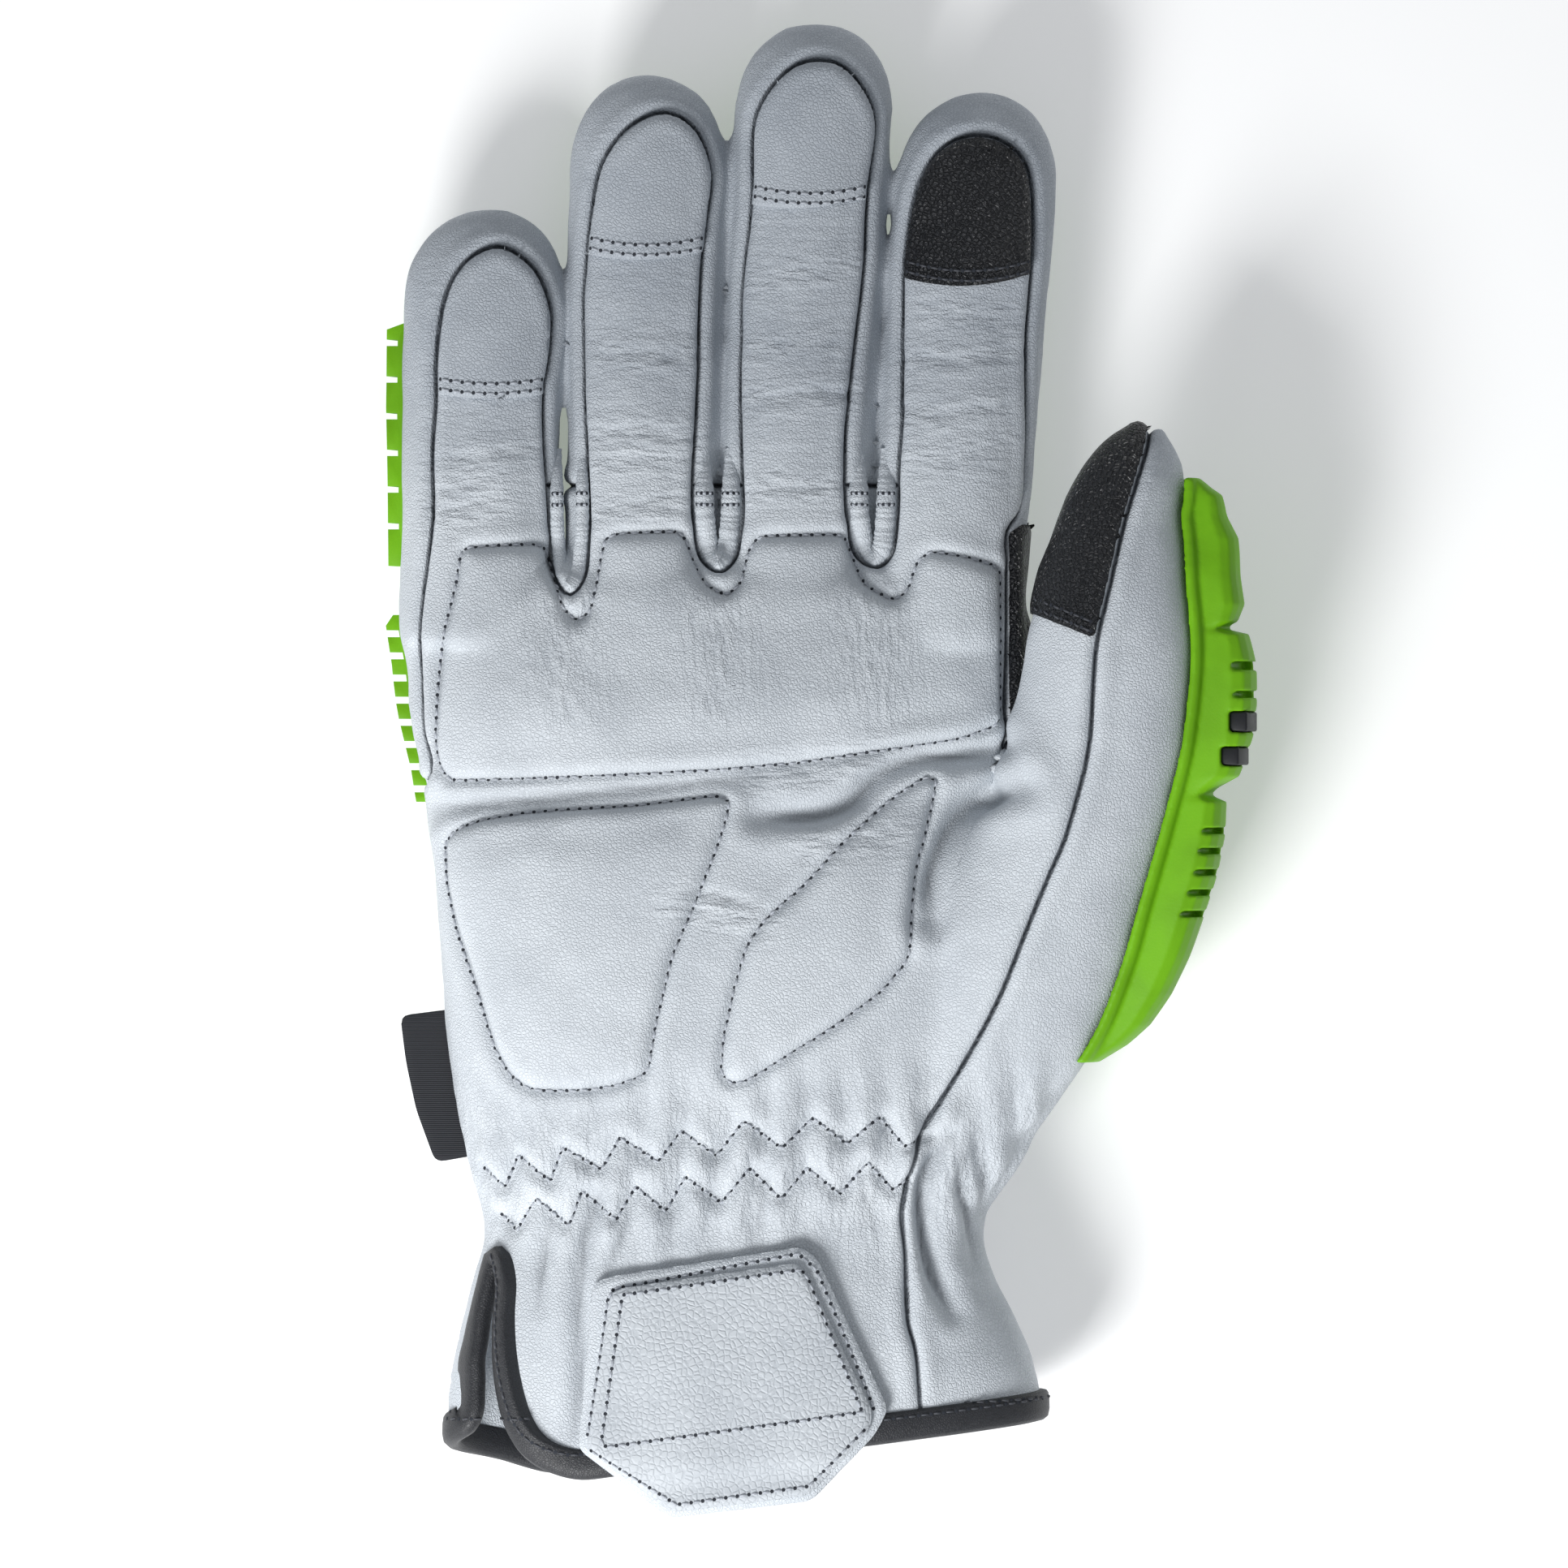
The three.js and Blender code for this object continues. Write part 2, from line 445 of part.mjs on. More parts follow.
const slitCap = slab(X(-0.85), X(-0.476), slitTop - SIZE.binding * 0.82, slitTop, slitFoot, HIGH);
const binding = largest(thick.intersect(join([frontBand, frontHem, backHem, backEdge, slitCap])));

// Pull tab in two layers, and the woven label.
const tabSheet = (low, high, outline) => largest(handTube(high).subtract(handTube(low))
  .intersect(prism(outline, Z(0.67), HIGH)));
const tabLow = SIZE.fold + SIZE.gap + 0.1;
const tabBase = tabSheet(tabLow, tabLow + SIZE.tab, TAB);
const tabPatch = tabSheet(tabLow + SIZE.tab + SIZE.gap, tabLow + 2 * SIZE.tab + SIZE.gap, TAB_PATCH);
// The label sticks out of the outer seam.
const label = largest(prism(LABEL, Z(0.489), Z(0.489) + 0.8).subtract(handTube(SIZE.gap)));

// Guards of soft plastic. The thumb guard follows the side of the thumb.
const out = (r) => r.out * SIZE.guard;
function guardRing(r) {
  const y = Y(r.at), s = thumbAt(y);
  const flange = Math.min(1.7, out(r));
  const rise = [[-48, flange * 0.7], [-42, flange], [-37, flange], [-27, out(r) * 0.93], [-12, out(r)], [12, out(r)],
    [27, out(r) * 0.93], [37, flange], [42, flange], [48, flange * 0.7]];
  const at = (deg, off) => {
    const a = deg * Math.PI / 180;
    return [s.x + (s.w + off) * Math.cos(a), y, s.z + (s.h + off) * Math.sin(a)];
  };
  const lie = SIZE.gap * 3;
  return [...rise.map(([deg, off]) => at(deg, off + lie)), ...[48, 24, 0, -24, -48].map((deg) => at(deg, lie))];
}
const guardSlots = [
  { at: 0.078, deep: 4.2, wide: 1.6 }, { at: 0.054, deep: 4.2, wide: 1.6 },
  { at: 0.041, deep: 3.4, wide: 3.6 }, { at: 0.018, deep: 3.4, wide: 3.4 },
  { at: -0.036, deep: 2.6, wide: 1.1 }, { at: -0.050, deep: 2.6, wide: 1.1 }, { at: -0.065, deep: 2.6, wide: 1.1 },
  { at: -0.079, deep: 2.6, wide: 1.1 }, { at: -0.094, deep: 2.6, wide: 1.1 },
];
const outsideAt = (at) => {
  const i = THUMB_GUARD.findIndex((r) => r.at <= at), a = THUMB_GUARD[i - 1], b = THUMB_GUARD[i];
  const t = (a.at - at) / (a.at - b.at), s = thumbAt(Y(at));
  return { x: s.x + s.w + SIZE.gap * 3 + out(a) + (out(b) - out(a)) * t, y: Y(at), z: s.z };
};
const slotCut = (s) => {
  const o = outsideAt(s.at);
  return slab(o.x - s.deep, o.x + 8, o.y - s.wide / 2, o.y + s.wide / 2, o.z - 20, o.z + 20);
};
let thumbGuard = loft(THUMB_GUARD.map(guardRing)).subtract(handTube(SIZE.gap + 0.1));
for (const s of guardSlots) thumbGuard = thumbGuard.subtract(slotCut(s));
const inlays = [guardSlots[2], guardSlots[3]].map((s) => {
  const o = outsideAt(s.at), half = s.wide / 2 - SIZE.gap;
  return slab(o.x - s.deep + SIZE.gap, o.x + 0.5, o.y - half, o.y + half, o.z - 6, o.z + 7);
});

// Finger guards. from and to: along the length, side: extra width on the outer side, of the finger width,
// ribs: how many steps the cuts in both edges make.
const FINGER_GUARDS = [
  { from: 0.150, to: 0.335, side: 0.70, ribs: 5 },
  { from: 0.170, to: 0.470, side: 0, ribs: 5 },
  { from: 0.180, to: 0.505, side: 0, ribs: 5 },
  { from: 0.165, to: 0.440, side: 0, ribs: 5 },
];
const guardHalf = SIZE.finger * 0.317;
const fingerGuards = FINGERS.map((f, i) => {
  const g = FINGER_GUARDS[i], y0 = Y(g.from), y1 = Y(g.to), side = g.side * SIZE.finger, middle = (y0 + y1) / 2;
  const p = (share, extra, y) => [fingerLine(f, y) + share * guardHalf - extra, y];
  const outline = [p(-0.55, side, y0), p(0.55, 0, y0), p(1, 0, y0 + Y(0.024)), p(0.86, 0, middle),
    p(1, 0, y1 - Y(0.048)), p(0.5, 0, y1), p(-0.5, 0, y1), p(-1, side, y1 - Y(0.036)), p(-0.86, side, middle),
    p(-1, side, y0 + Y(0.024))];
  const near = SIZE.gap + 0.1;
  let guard = fingerTube(f, SIZE.rib).subtract(fingerTube(f, near))
    .intersect(prism(outline, 0, g.side ? Z(0.417) : Z(0.239)));
  const step = (y1 - y0 - Y(0.056)) / g.ribs, core = fingerTube(f, SIZE.rib * 0.47), edge = guardHalf * 0.62;
  for (let k = 0; k <= g.ribs; k++) {
    const y = y0 + Y(0.028) + k * step, x = fingerLine(f, y);
    for (const [a, b] of [[x - 40, x - edge], [x + edge, x + 40]]) {
      guard = guard.subtract(slab(a, b, y - 0.55, y + 0.55, LOW, Z(0.83)).subtract(core));
    }
  }
  return largest(guard.subtract(join(FINGERS.filter((o) => o !== f).map((o) => fingerTube(o, near)))));
});
// Back guard: a thin plate with a knuckle bar and four bones, flat underneath where it rests.
const PLATE = plan([
  [-0.696, 0.132], [-0.411, 0.138], [-0.152, 0.152], [0.107, 0.152], [0.295, 0.132], [0.312, 0.024],
  [0.268, -0.064], [0.107, -0.160], [-0.179, -0.196], [-0.446, -0.176], [-0.536, -0.080], [-0.696, -0.032],
]);
const BARS = [
  [[-0.589, 0.116], [-0.411, 0.124], [-0.152, 0.138], [0.107, 0.138], [0.268, 0.118], [0.277, 0.076],
    [0.107, 0.064], [-0.152, 0.056], [-0.411, 0.052], [-0.589, 0.056]],
  [[-0.571, 0.036], [-0.446, 0.040], [-0.411, -0.056], [-0.411, -0.144], [-0.482, -0.144],
    [-0.518, -0.056]],
  [[-0.402, 0.042], [-0.277, 0.046], [-0.259, -0.056], [-0.295, -0.160], [-0.366, -0.160],
    [-0.375, -0.056]],
  [[-0.232, 0.048], [-0.089, 0.052], [-0.098, -0.056], [-0.161, -0.168], [-0.241, -0.168],
    [-0.232, -0.056]],
  [[-0.045, 0.054], [0.089, 0.056], [0.054, -0.048], [-0.036, -0.148], [-0.116, -0.148], [-0.062, -0.048]],
].map(plan);
const near = SIZE.gap + 0.1;
const under = slab(X(-0.9), X(0.295), Y(-0.4), Y(0.4), 0, Z(0.472));
let backGuard = handTube(SIZE.plate).subtract(handTube(near)).intersect(prism(PLATE, 0, Z(0.347)))
  .add(handTube(SIZE.bars).subtract(handTube(1)).intersect(join(BARS.map((b) => prism(b, 0, Z(0.333))))));
const fringe = handTube(SIZE.rib).subtract(handTube(near))
  .intersect(slab(X(-0.8), X(-0.554), Y(-0.016), Y(0.132), Z(0.083), Z(0.403)));
backGuard = backGuard.add(fringe);
const fringeCore = handTube(SIZE.rib * 0.47);
for (let k = 0; k < 9; k++) {
  const y = Y(0.118 - k * 0.0156);
  backGuard = backGuard.subtract(slab(X(-0.85), X(-0.589), y - 0.6, y + 0.6, Z(0.056), Z(0.833)).subtract(fringeCore));
}
backGuard = largest(backGuard.intersect(under).subtract(join(FINGERS.map((f) => fingerTube(f, near))))
  .subtract(thumbTube(near)));

// The assembly.
const LOOK = {
  leather: { color: 0xbcc4ce, roughness: 0.6 }, black: { color: 0x1c1d20, roughness: 0.5 },
  guard: { color: 0x9ddc12, roughness: 0.45 }, inlay: { color: 0x17181a, roughness: 0.6 },
  woven: { color: 0x141416, roughness: 0.9 },
};
const group = new THREE.Group();
function add(name, body, look) {
  const mesh = largest(body.simplify(0.2)).getMesh();
  const n = mesh.numProp;
  const points = new Float32Array(mesh.vertProperties.length / n * 3);
  for (let i = 0; i * n < mesh.vertProperties.length; i++) {
    for (let j = 0; j < 3; j++) points[i * 3 + j] = mesh.vertProperties[i * n + j];
  }
  const geometry = new THREE.BufferGeometry();
  geometry.setAttribute('position', new THREE.BufferAttribute(points, 3));
  geometry.setIndex(new THREE.BufferAttribute(new Uint32Array(mesh.triVerts), 1));
  geometry.computeVertexNormals();
  const part = new THREE.Mesh(geometry, new THREE.MeshStandardMaterial(LOOK[look]));
  part.name = name;
  group.add(part);
}
add('palm_panel', palm, 'leather');
add('thumb_panel', thumbSide, 'leather');
add('back_panel', back, 'leather');
CROTCH.forEach((c, i) => add(`gusset_${c.name}`, gussets[i], 'leather'));
FINGERS.forEach((f, i) => add(`tip_patch_${f.name}`, tipPatches[i], f.name === 'index' ? 'black' : 'leather'));
add('tip_patch_thumb', thumbPatch, 'black');
add('crotch_patch', crotchPatch, 'black');
add('cuff_binding', binding, 'black');
add('tab_base', tabBase, 'leather');
add('tab_patch', tabPatch, 'leather');
add('side_label', label, 'woven');
add('thumb_guard', largest(thumbGuard), 'guard');
inlays.forEach((m, i) => add(`thumb_guard_inlay_${i + 1}`, m, 'inlay'));
FINGERS.forEach((f, i) => add(`finger_guard_${f.name}`, fingerGuards[i], 'guard'));
add('back_guard', backGuard, 'guard');

export default group;
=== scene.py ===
"""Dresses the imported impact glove: leather panels, patches, guards, stitching and a plain studio."""

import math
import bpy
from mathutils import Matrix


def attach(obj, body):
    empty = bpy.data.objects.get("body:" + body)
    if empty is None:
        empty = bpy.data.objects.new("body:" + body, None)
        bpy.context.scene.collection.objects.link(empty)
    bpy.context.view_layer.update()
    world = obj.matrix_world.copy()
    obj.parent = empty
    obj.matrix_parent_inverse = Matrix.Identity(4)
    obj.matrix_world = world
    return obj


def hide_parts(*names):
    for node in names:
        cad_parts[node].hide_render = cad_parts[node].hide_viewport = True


bl_info = {
    "name": "Impact glove",
    "version": (1, 0, 0),
    "blender": (4, 5, 0),
    "location": "3D View > Sidebar > Glove",
    "description": "Builds the leather, stitching, guards and stage of a leather impact glove",
    "category": "Object",
}

from types import SimpleNamespace

import bpy
import numpy as np
from mathutils import Vector
from mathutils.bvhtree import BVHTree
from mathutils.kdtree import KDTree

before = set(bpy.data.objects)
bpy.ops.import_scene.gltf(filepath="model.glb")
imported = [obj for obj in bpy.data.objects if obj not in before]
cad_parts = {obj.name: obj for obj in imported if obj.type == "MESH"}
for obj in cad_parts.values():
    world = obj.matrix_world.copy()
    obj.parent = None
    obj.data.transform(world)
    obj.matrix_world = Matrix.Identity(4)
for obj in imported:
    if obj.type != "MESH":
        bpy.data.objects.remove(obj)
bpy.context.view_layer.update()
MM = 0.001
WORK = {}


# Sizes and colours that a user would change

class GloveSizes(bpy.types.PropertyGroup):
    """Sizes of the glove"""
    length: bpy.props.FloatProperty(
        name="Length", description="Middle fingertip to hem", default=0.25, unit="LENGTH")
    palm: bpy.props.FloatProperty(
        name="Palm", description="Width over the knuckles", default=0.112, unit="LENGTH")
    depth: bpy.props.FloatProperty(
        name="Depth", description="Palm to back", default=0.036, unit="LENGTH")
    finger: bpy.props.FloatProperty(
        name="Finger", description="Width of one finger", default=0.0284, unit="LENGTH")
    thumb: bpy.props.FloatProperty(
        name="Thumb", description="Width at the base joint", default=0.0314, unit="LENGTH")
    leather: bpy.props.FloatProperty(
        name="Leather", description="Wall thickness", default=0.0014, unit="LENGTH")
    mesh: bpy.props.FloatProperty(
        name="Mesh", description="Edge length of the leather mesh", default=0.0011, unit="LENGTH")
    pad: bpy.props.FloatProperty(
        name="Pad", description="Rise of the quilted pads", default=0.0015, unit="LENGTH")
    patch: bpy.props.FloatProperty(
        name="Patch", description="Thickness of a patch", default=0.0008, unit="LENGTH")
    tab: bpy.props.FloatProperty(
        name="Tab", description="Thickness of each tab layer", default=0.0012, unit="LENGTH")
    guard: bpy.props.FloatProperty(
        name="Guard", description="Height of the thumb guard", default=0.0102, unit="LENGTH")
    pitch: bpy.props.FloatProperty(
        name="Pitch", description="Stitch pitch", default=0.002, unit="LENGTH")
    thread: bpy.props.FloatProperty(
        name="Thread", description="Thread radius", default=0.00024, unit="LENGTH")


class GloveColours(bpy.types.PropertyGroup):
    """Colours of the glove"""
    leather: bpy.props.FloatVectorProperty(
        name="Leather", description="Pale blue-grey leather", subtype="COLOR", default=(0.64, 0.68, 0.72))
    # shade is a darker tone for the leather's random clouding, and also its painted shade: seams, pad edges
    # and folds darken towards a third of it, and the fingers and wrinkle valleys towards it.
    shade: bpy.props.FloatVectorProperty(
        name="Shade", description="Leather in its folds", subtype="COLOR", default=(0.20, 0.23, 0.275))
    black: bpy.props.FloatVectorProperty(
        name="Black", description="Black leather and tape", subtype="COLOR", default=(0.014, 0.015, 0.018))
    guard: bpy.props.FloatVectorProperty(
        name="Guard", description="Fluorescent guards", subtype="COLOR", default=(0.17, 0.46, 0.002))
    thread: bpy.props.FloatVectorProperty(
        name="Thread", description="Sewing thread", subtype="COLOR", default=(0.46, 0.49, 0.54))
    floor: bpy.props.FloatVectorProperty(
        name="Floor", description="Studio floor", subtype="COLOR", default=(0.90, 0.90, 0.90))


# Tables, in shares of the named sizes, as the solids have them

HAND = (
    # at, left, right, back, front
    (0.108, -0.648, 0.336, 0.167, 0.875),
    (0.080, -0.639, 0.338, 0.156, 0.917),
    (0.048, -0.633, 0.329, 0.150, 0.958),
    (0.006, -0.611, 0.317, 0.147, 0.972),
    (-0.012, -0.603, 0.317, 0.147, 0.965),
    (-0.032, -0.599, 0.321, 0.150, 1.000),
    (-0.064, -0.590, 0.339, 0.156, 1.045),
    (-0.144, -0.575, 0.366, 0.156, 1.072),
    (-0.184, -0.570, 0.375, 0.128, 1.066),
    (-0.212, -0.560, 0.373, 0.106, 1.050),
    (-0.232, -0.552, 0.360, 0.089, 1.035),
    (-0.250, -0.543, 0.342, 0.078, 1.022),
    (-0.268, -0.534, 0.321, 0.069, 1.010),
    (-0.286, -0.523, 0.292, 0.061, 1.000),
    (-0.304, -0.513, 0.270, 0.054, 0.995),
    (-0.324, -0.515, 0.267, 0.048, 1.000),
    (-0.348, -0.531, 0.283, 0.044, 1.015),
    (-0.380, -0.548, 0.320, 0.040, 1.032),
    (-0.412, -0.562, 0.346, 0.040, 1.045),
    (-0.476, -0.574, 0.368, 0.040, 1.045),
    (-0.544, -0.574, 0.371, 0.040, 0.920),
)
FINGERS = {
    # x, lean, tip, wide, cover (lower edge of the patch, in the middle and at its ends)
    "little": (-0.527, 0.022, 0.399, 1.0, 0.266, 0.270),
    "ring": (-0.270, 0.016, 0.492, 0.985, 0.363, 0.369),
    "middle": (-0.036, 0.045, 0.528, 0.985, 0.399, 0.405),
    "index": (0.202, 0.078, 0.480, 1.015, 0.345, 0.353),
}
ROOT, TIP, TURN = 0.096, 0.58, 0.05
FINGER_ROWS = ((0.0, 0.955, 0.175, 0.850), (0.45, 0.965, 0.155, 0.767), (0.70, 0.985, 0.164, 0.742),
               (1.0, 1.0, 0.210, 0.740))
THUMB = (
    # at, x, wide, z, deep
    (-0.240, 0.210, 1.05, 0.572, 0.733), (-0.172, 0.290, 1.21, 0.650, 0.844),
    (-0.132, 0.323, 1.22, 0.700, 0.867), (-0.088, 0.357, 1.17, 0.750, 0.856),
    (-0.024, 0.413, 1.04, 0.811, 0.800), (0.032, 0.448, 0.987, 0.861, 0.744),
    (0.088, 0.464, 0.943, 0.889, 0.700), (0.140, 0.470, 0.828, 0.889, 0.628),
    (0.160, 0.476, 0.764, 0.875, 0.583), (0.184, 0.482, 0.669, 0.861, 0.528),
)
THUMB_END = (0.497, 0.134, -0.032)
HEM, HEM_SLOPE = -0.4485, 0.118
SPLIT = 0.5

# Seams and outlines in plan, in millimetres
LONG_SEAM = ((59.5, 70.0), (58.4, 59.5), (56.1, 51.5), (53.8, 44.0), (50.9, 31.8), (49.1, 24.3), (48.4, 16.8),
             (47.8, 6.8), (46.8, 1.0), (43.5, -10.5), (40.9, -16.5), (37.4, -25.0), (32.0, -38.5),
             (25.4, -50.7), (19.0, -61.2), (16.4, -68.7), (15.1, -75.0), (15.8, -82.0), (16.5, -94.5),
             (17.8, -99.5), (18.5, -107.7), (19.0, -140.0))
OUTER_SEAM = ((-90.0, -140.0), (-90.0, -2.5), (-67.4, 0.0), (-68.3, 8.7), (-68.9, 18.2), (-69.3, 24.5),
              (-68.9, 30.7), (-68.0, 37.0), (-67.0, 45.2), (-67.0, 55.9), (-66.3, 66.6))
TIP_SEAMS = {
    "little": ((-66.2, 73.0), (-65.4, 80.5), (-64.6, 84.2), (-62.9, 88.3), (-60.5, 91.1), (-57.5, 92.9),
               (-55.5, 93.3), (-53.4, 92.9), (-51.0, 91.5), (-48.6, 89.2), (-46.9, 86.0), (-45.9, 82.5),
               (-45.6, 79.5), (-46.1, 73.0), (-46.8, 69.4)),
    "ring": ((-40.6, 70.0), (-40.4, 87.8), (-39.0, 100.0), (-37.0, 108.3), (-32.1, 114.4), (-26.1, 116.8),
             (-21.0, 114.4), (-17.6, 106.9), (-18.4, 97.0), (-19.3, 87.8), (-20.0, 70.0)),
    "middle": ((-12.9, 57.0), (-12.9, 84.3), (-11.1, 103.2), (-10.1, 116.8), (-4.0, 124.6), (1.3, 126.0),
               (5.7, 124.6), (10.9, 116.8), (9.8, 102.7), (9.1, 89.1), (6.9, 69.6), (6.0, 58.4)),
    "index": ((14.6, 54.9), (15.2, 62.0), (15.2, 70.7), (16.0, 95.5), (19.6, 107.6), (24.0, 111.6),
              (28.9, 112.8), (33.6, 111.4), (37.2, 107.8), (38.6, 98.3), (37.5, 73.5), (37.0, 50.0)),
}
CROTCH_SEAMS = (((-46.0, 41.4), (-44.9, 35.0), (-42.6, 32.3), (-40.4, 34.6), (-39.4, 41.0)),
                ((-20.8, 45.0), (-19.4, 38.4), (-16.6, 36.2), (-14.0, 38.2), (-12.8, 44.5)),
                ((6.3, 45.0), (8.0, 39.0), (10.8, 37.1), (13.4, 39.2), (14.4, 45.4)))
INDEX_SIDE = ((36.0, 46.0), (34.3, 43.6), (34.0, 34.0), (33.9, 24.0), (33.5, 4.0), (34.0, 1.0))
CROTCH_X = (-42.8, -16.8, 10.6)
THUMB_SIDE = ((95.0, 1.2), (33.0, 1.2), (31.0, -20.0), (27.0, -60.0), (21.0, -90.0), (20.5, -140.0),
              (95.0, -140.0))
THUMB_CORNER = (34.2, -0.6)
PADS = {
    "fingers": ((-60.5, 40.5), (-47.2, 41.2), (-45.8, 36.1), (-43.7, 29.7), (-41.4, 27.6), (-39.1, 29.0),
                (-37.9, 34.0), (-36.5, 41.9), (-34.7, 42.8), (-23.0, 43.3), (-21.1, 38.2), (-19.0, 34.0),
                (-15.1, 31.9), (-12.6, 34.3), (-11.5, 39.6), (-9.7, 42.4), (5.3, 42.8), (6.7, 38.9),
                (8.8, 34.0), (13.9, 31.1), (16.4, 32.9), (18.2, 38.2), (20.3, 39.8), (25.6, 39.1),
                (31.4, 37.4), (32.6, 36.1), (32.6, 10.4), (31.4, 9.2), (25.3, 7.0), (11.8, 5.0), (-2.5, 2.9),
                (-16.1, 1.7), (-34.7, 0.7), (-52.5, -0.0), (-63.3, -0.2), (-65.1, 1.8), (-66.1, 6.2),
                (-65.8, 14.7), (-64.7, 25.3), (-62.6, 33.3), (-61.6, 39.6)),
    "heel": ((-64.4, -10.8), (-62.0, -8.6), (-58.0, -7.1), (-48.8, -5.7), (-31.0, -4.6), (-16.8, -2.9),
             (-14.6, -3.8), (-15.4, -7.8), (-19.7, -19.3), (-24.6, -30.6), (-27.5, -42.7), (-28.9, -51.2),
             (-34.6, -53.4), (-41.7, -54.3), (-49.5, -54.1), (-53.1, -51.6), (-55.9, -46.3), (-58.7, -37.0),
             (-62.4, -26.4), (-64.2, -17.9)),
    "thumb": ((21.4, -0.2), (19.5, -9.2), (17.7, -15.6), (17.0, -23.4), (16.6, -31.2), (11.7, -37.0),
              (3.9, -42.7), (-6.2, -49.1), (-11.9, -52.6), (-14.7, -52.9), (-16.1, -50.9), (-15.8, -45.6),
              (-14.0, -37.0), (-11.5, -28.5), (-8.2, -24.1), (-1.8, -18.6), (5.3, -10.8), (13.8, -3.2),
              (19.6, 0.4)),
}
FOLDS = (
    # points, depth, half width
    (((-66.0, -5.4), (-41.8, -3.0), (-20.4, -0.9), (-9.0, 0.2)), 1.1, 1.5),
    (((-9.5, -6.4), (1.0, -6.0), (6.7, -3.9), (12.4, 1.1), (17.5, 3.2), (25.3, 4.0), (34.0, 5.0)), 2.3, 1.7),
    (((-22.0, -19.6), (-13.7, -21.2), (-8.8, -23.0)), 0.5, 0.9),
    (((36.0, -1.2), (33.1, -2.1), (28.1, -4.3), (24.5, -7.8), (21.6, -13.6), (20.3, -18.6), (19.9, -24.0)),
     2.9, 1.9),
    (((24.6, -61.0), (23.6, -62.9), (18.9, -69.6), (18.9, -77.9), (20.6, -85.5), (24.3, -92.9)), 2.0, 1.4),
    (((25.1, -63.9), (25.7, -72.7), (27.2, -77.9), (28.3, -83.7)), 1.2, 1.1),
    (((28.8, -63.8), (29.5, -69.0), (29.3, -75.7)), 1.0, 1.0),
    (((-37.5, -72.0), (-40.0, -80.0), (-41.0, -90.0), (-40.8, -103.0), (-41.5, -114.0)), 1.1, 1.4),
    (((-46.0, -77.0), (-47.4, -84.0), (-47.9, -92.0)), 0.8, 1.2),
    (((-32.0, -74.0), (-33.6, -80.0), (-36.0, -86.0)), 0.8, 1.2),
    (((-24.0, -73.0), (-25.0, -79.0)), 0.7, 1.2),
    (((-8.6, -70.0), (-9.4, -78.0)), 0.7, 1.3),
    (((8.2, -69.0), (9.6, -76.0)), 0.7, 1.3),
)
CREASES = (
    # from, to, depth, half width
    ((-36.9, 74.5), (-20.1, 74.2), 0.45, 0.7), ((-38.4, 61.2), (-21.5, 60.2), 0.50, 0.8),
    ((-36.9, 55.9), (-21.5, 56.8), 0.30, 0.6), ((-36.0, 46.9), (-24.0, 49.0), 0.30, 0.7),
    ((-10.2, 87.2), (8.0, 89.7), 0.25, 0.6), ((-10.9, 66.5), (8.0, 67.8), 0.50, 0.8),
    ((-10.2, 50.6), (5.2, 52.0), 0.40, 0.8), ((-9.0, 75.4), (3.0, 76.2), 0.25, 0.6),
    ((15.8, 73.1), (37.6, 74.5), 0.50, 0.8), ((16.5, 64.0), (34.8, 65.4), 0.45, 0.8),
    ((17.9, 55.5), (33.3, 57.9), 0.35, 0.7), ((20.0, 82.0), (35.0, 80.5), 0.25, 0.6),
    ((-65.1, 56.2), (-48.2, 57.9), 0.45, 0.8), ((-66.5, 46.1), (-55.2, 48.9), 0.50, 0.7),
    ((-64.0, 51.0), (-56.0, 52.5), 0.30, 0.6), ((0.0, -12.0), (14.0, -10.0), 0.30, 0.8),
    ((-9.0, 1.0), (12.0, 4.0), 0.25, 0.7), ((-24.0, -22.0), (-9.0, -24.5), 0.30, 0.6),
)
ELASTIC = {
    "upper": ((-57.7, -68.0), (-53.9, -71.2), (-51.5, -65.6), (-45.9, -70.2), (-43.8, -64.2), (-36.9, -68.0),
              (-33.8, -62.4), (-27.1, -66.6), (-23.1, -61.2), (-16.9, -65.6), (-12.2, -59.5), (-5.6, -64.2),
              (-0.1, -58.9), (5.7, -63.6), (11.4, -58.8), (15.9, -64.0), (19.0, -62.4), (23.9, -61.4)),
    "lower": ((-54.6, -76.0), (-51.8, -78.8), (-48.4, -73.2), (-42.6, -77.9), (-40.4, -71.8), (-34.4, -76.7),
              (-31.0, -70.9), (-25.8, -75.3), (-22.4, -69.2), (-16.1, -73.8), (-11.2, -67.7), (-5.7, -73.1),
              (-1.1, -67.6), (4.5, -72.3), (9.4, -66.7), (13.8, -71.6), (16.3, -69.5)),
}
TAB = ((-38.6, -87.8), (-35.6, -86.5), (-2.2, -81.3), (0.6, -83.3), (13.0, -109.5), (10.6, -114.0),
       (-0.4, -125.5), (-25.1, -128.5), (-41.0, -116.5), (-39.8, -103.0))
TAB_PATCH = ((-35.6, -89.5), (-33.4, -88.4), (-2.8, -84.0), (-1.2, -86.0), (10.2, -109.8), (9.6, -113.5),
             (-0.9, -124.5), (-24.8, -127.4), (-39.6, -116.3), (-37.9, -103.0))
TAB_STITCHES = (
    ((-35.8, -90.6), (-34.8, -88.6), (-2.7, -82.5), (0.5, -85.3), (9.3, -106.4), (10.4, -109.5)),
    ((-35.8, -90.6), (-37.5, -102.9), (-39.3, -114.0)),
    ((-33.1, -89.6), (-2.2, -85.2), (-0.9, -87.0), (8.4, -109.9), (-36.2, -116.0), (-36.9, -115.0),
     (-33.4, -90.6)),
    ((-38.8, -116.6), (-23.9, -126.0), (-0.9, -122.8), (8.8, -113.0)),
)
SLIT_FRONT = ((-55.9, -84.5), (-54.9, -88.0), (-55.3, -93.0), (-55.5, -100.5), (-54.7, -108.1),
              (-53.2, -113.3), (-50.6, -117.2), (-46.5, -119.9), (-40.8, -121.2))
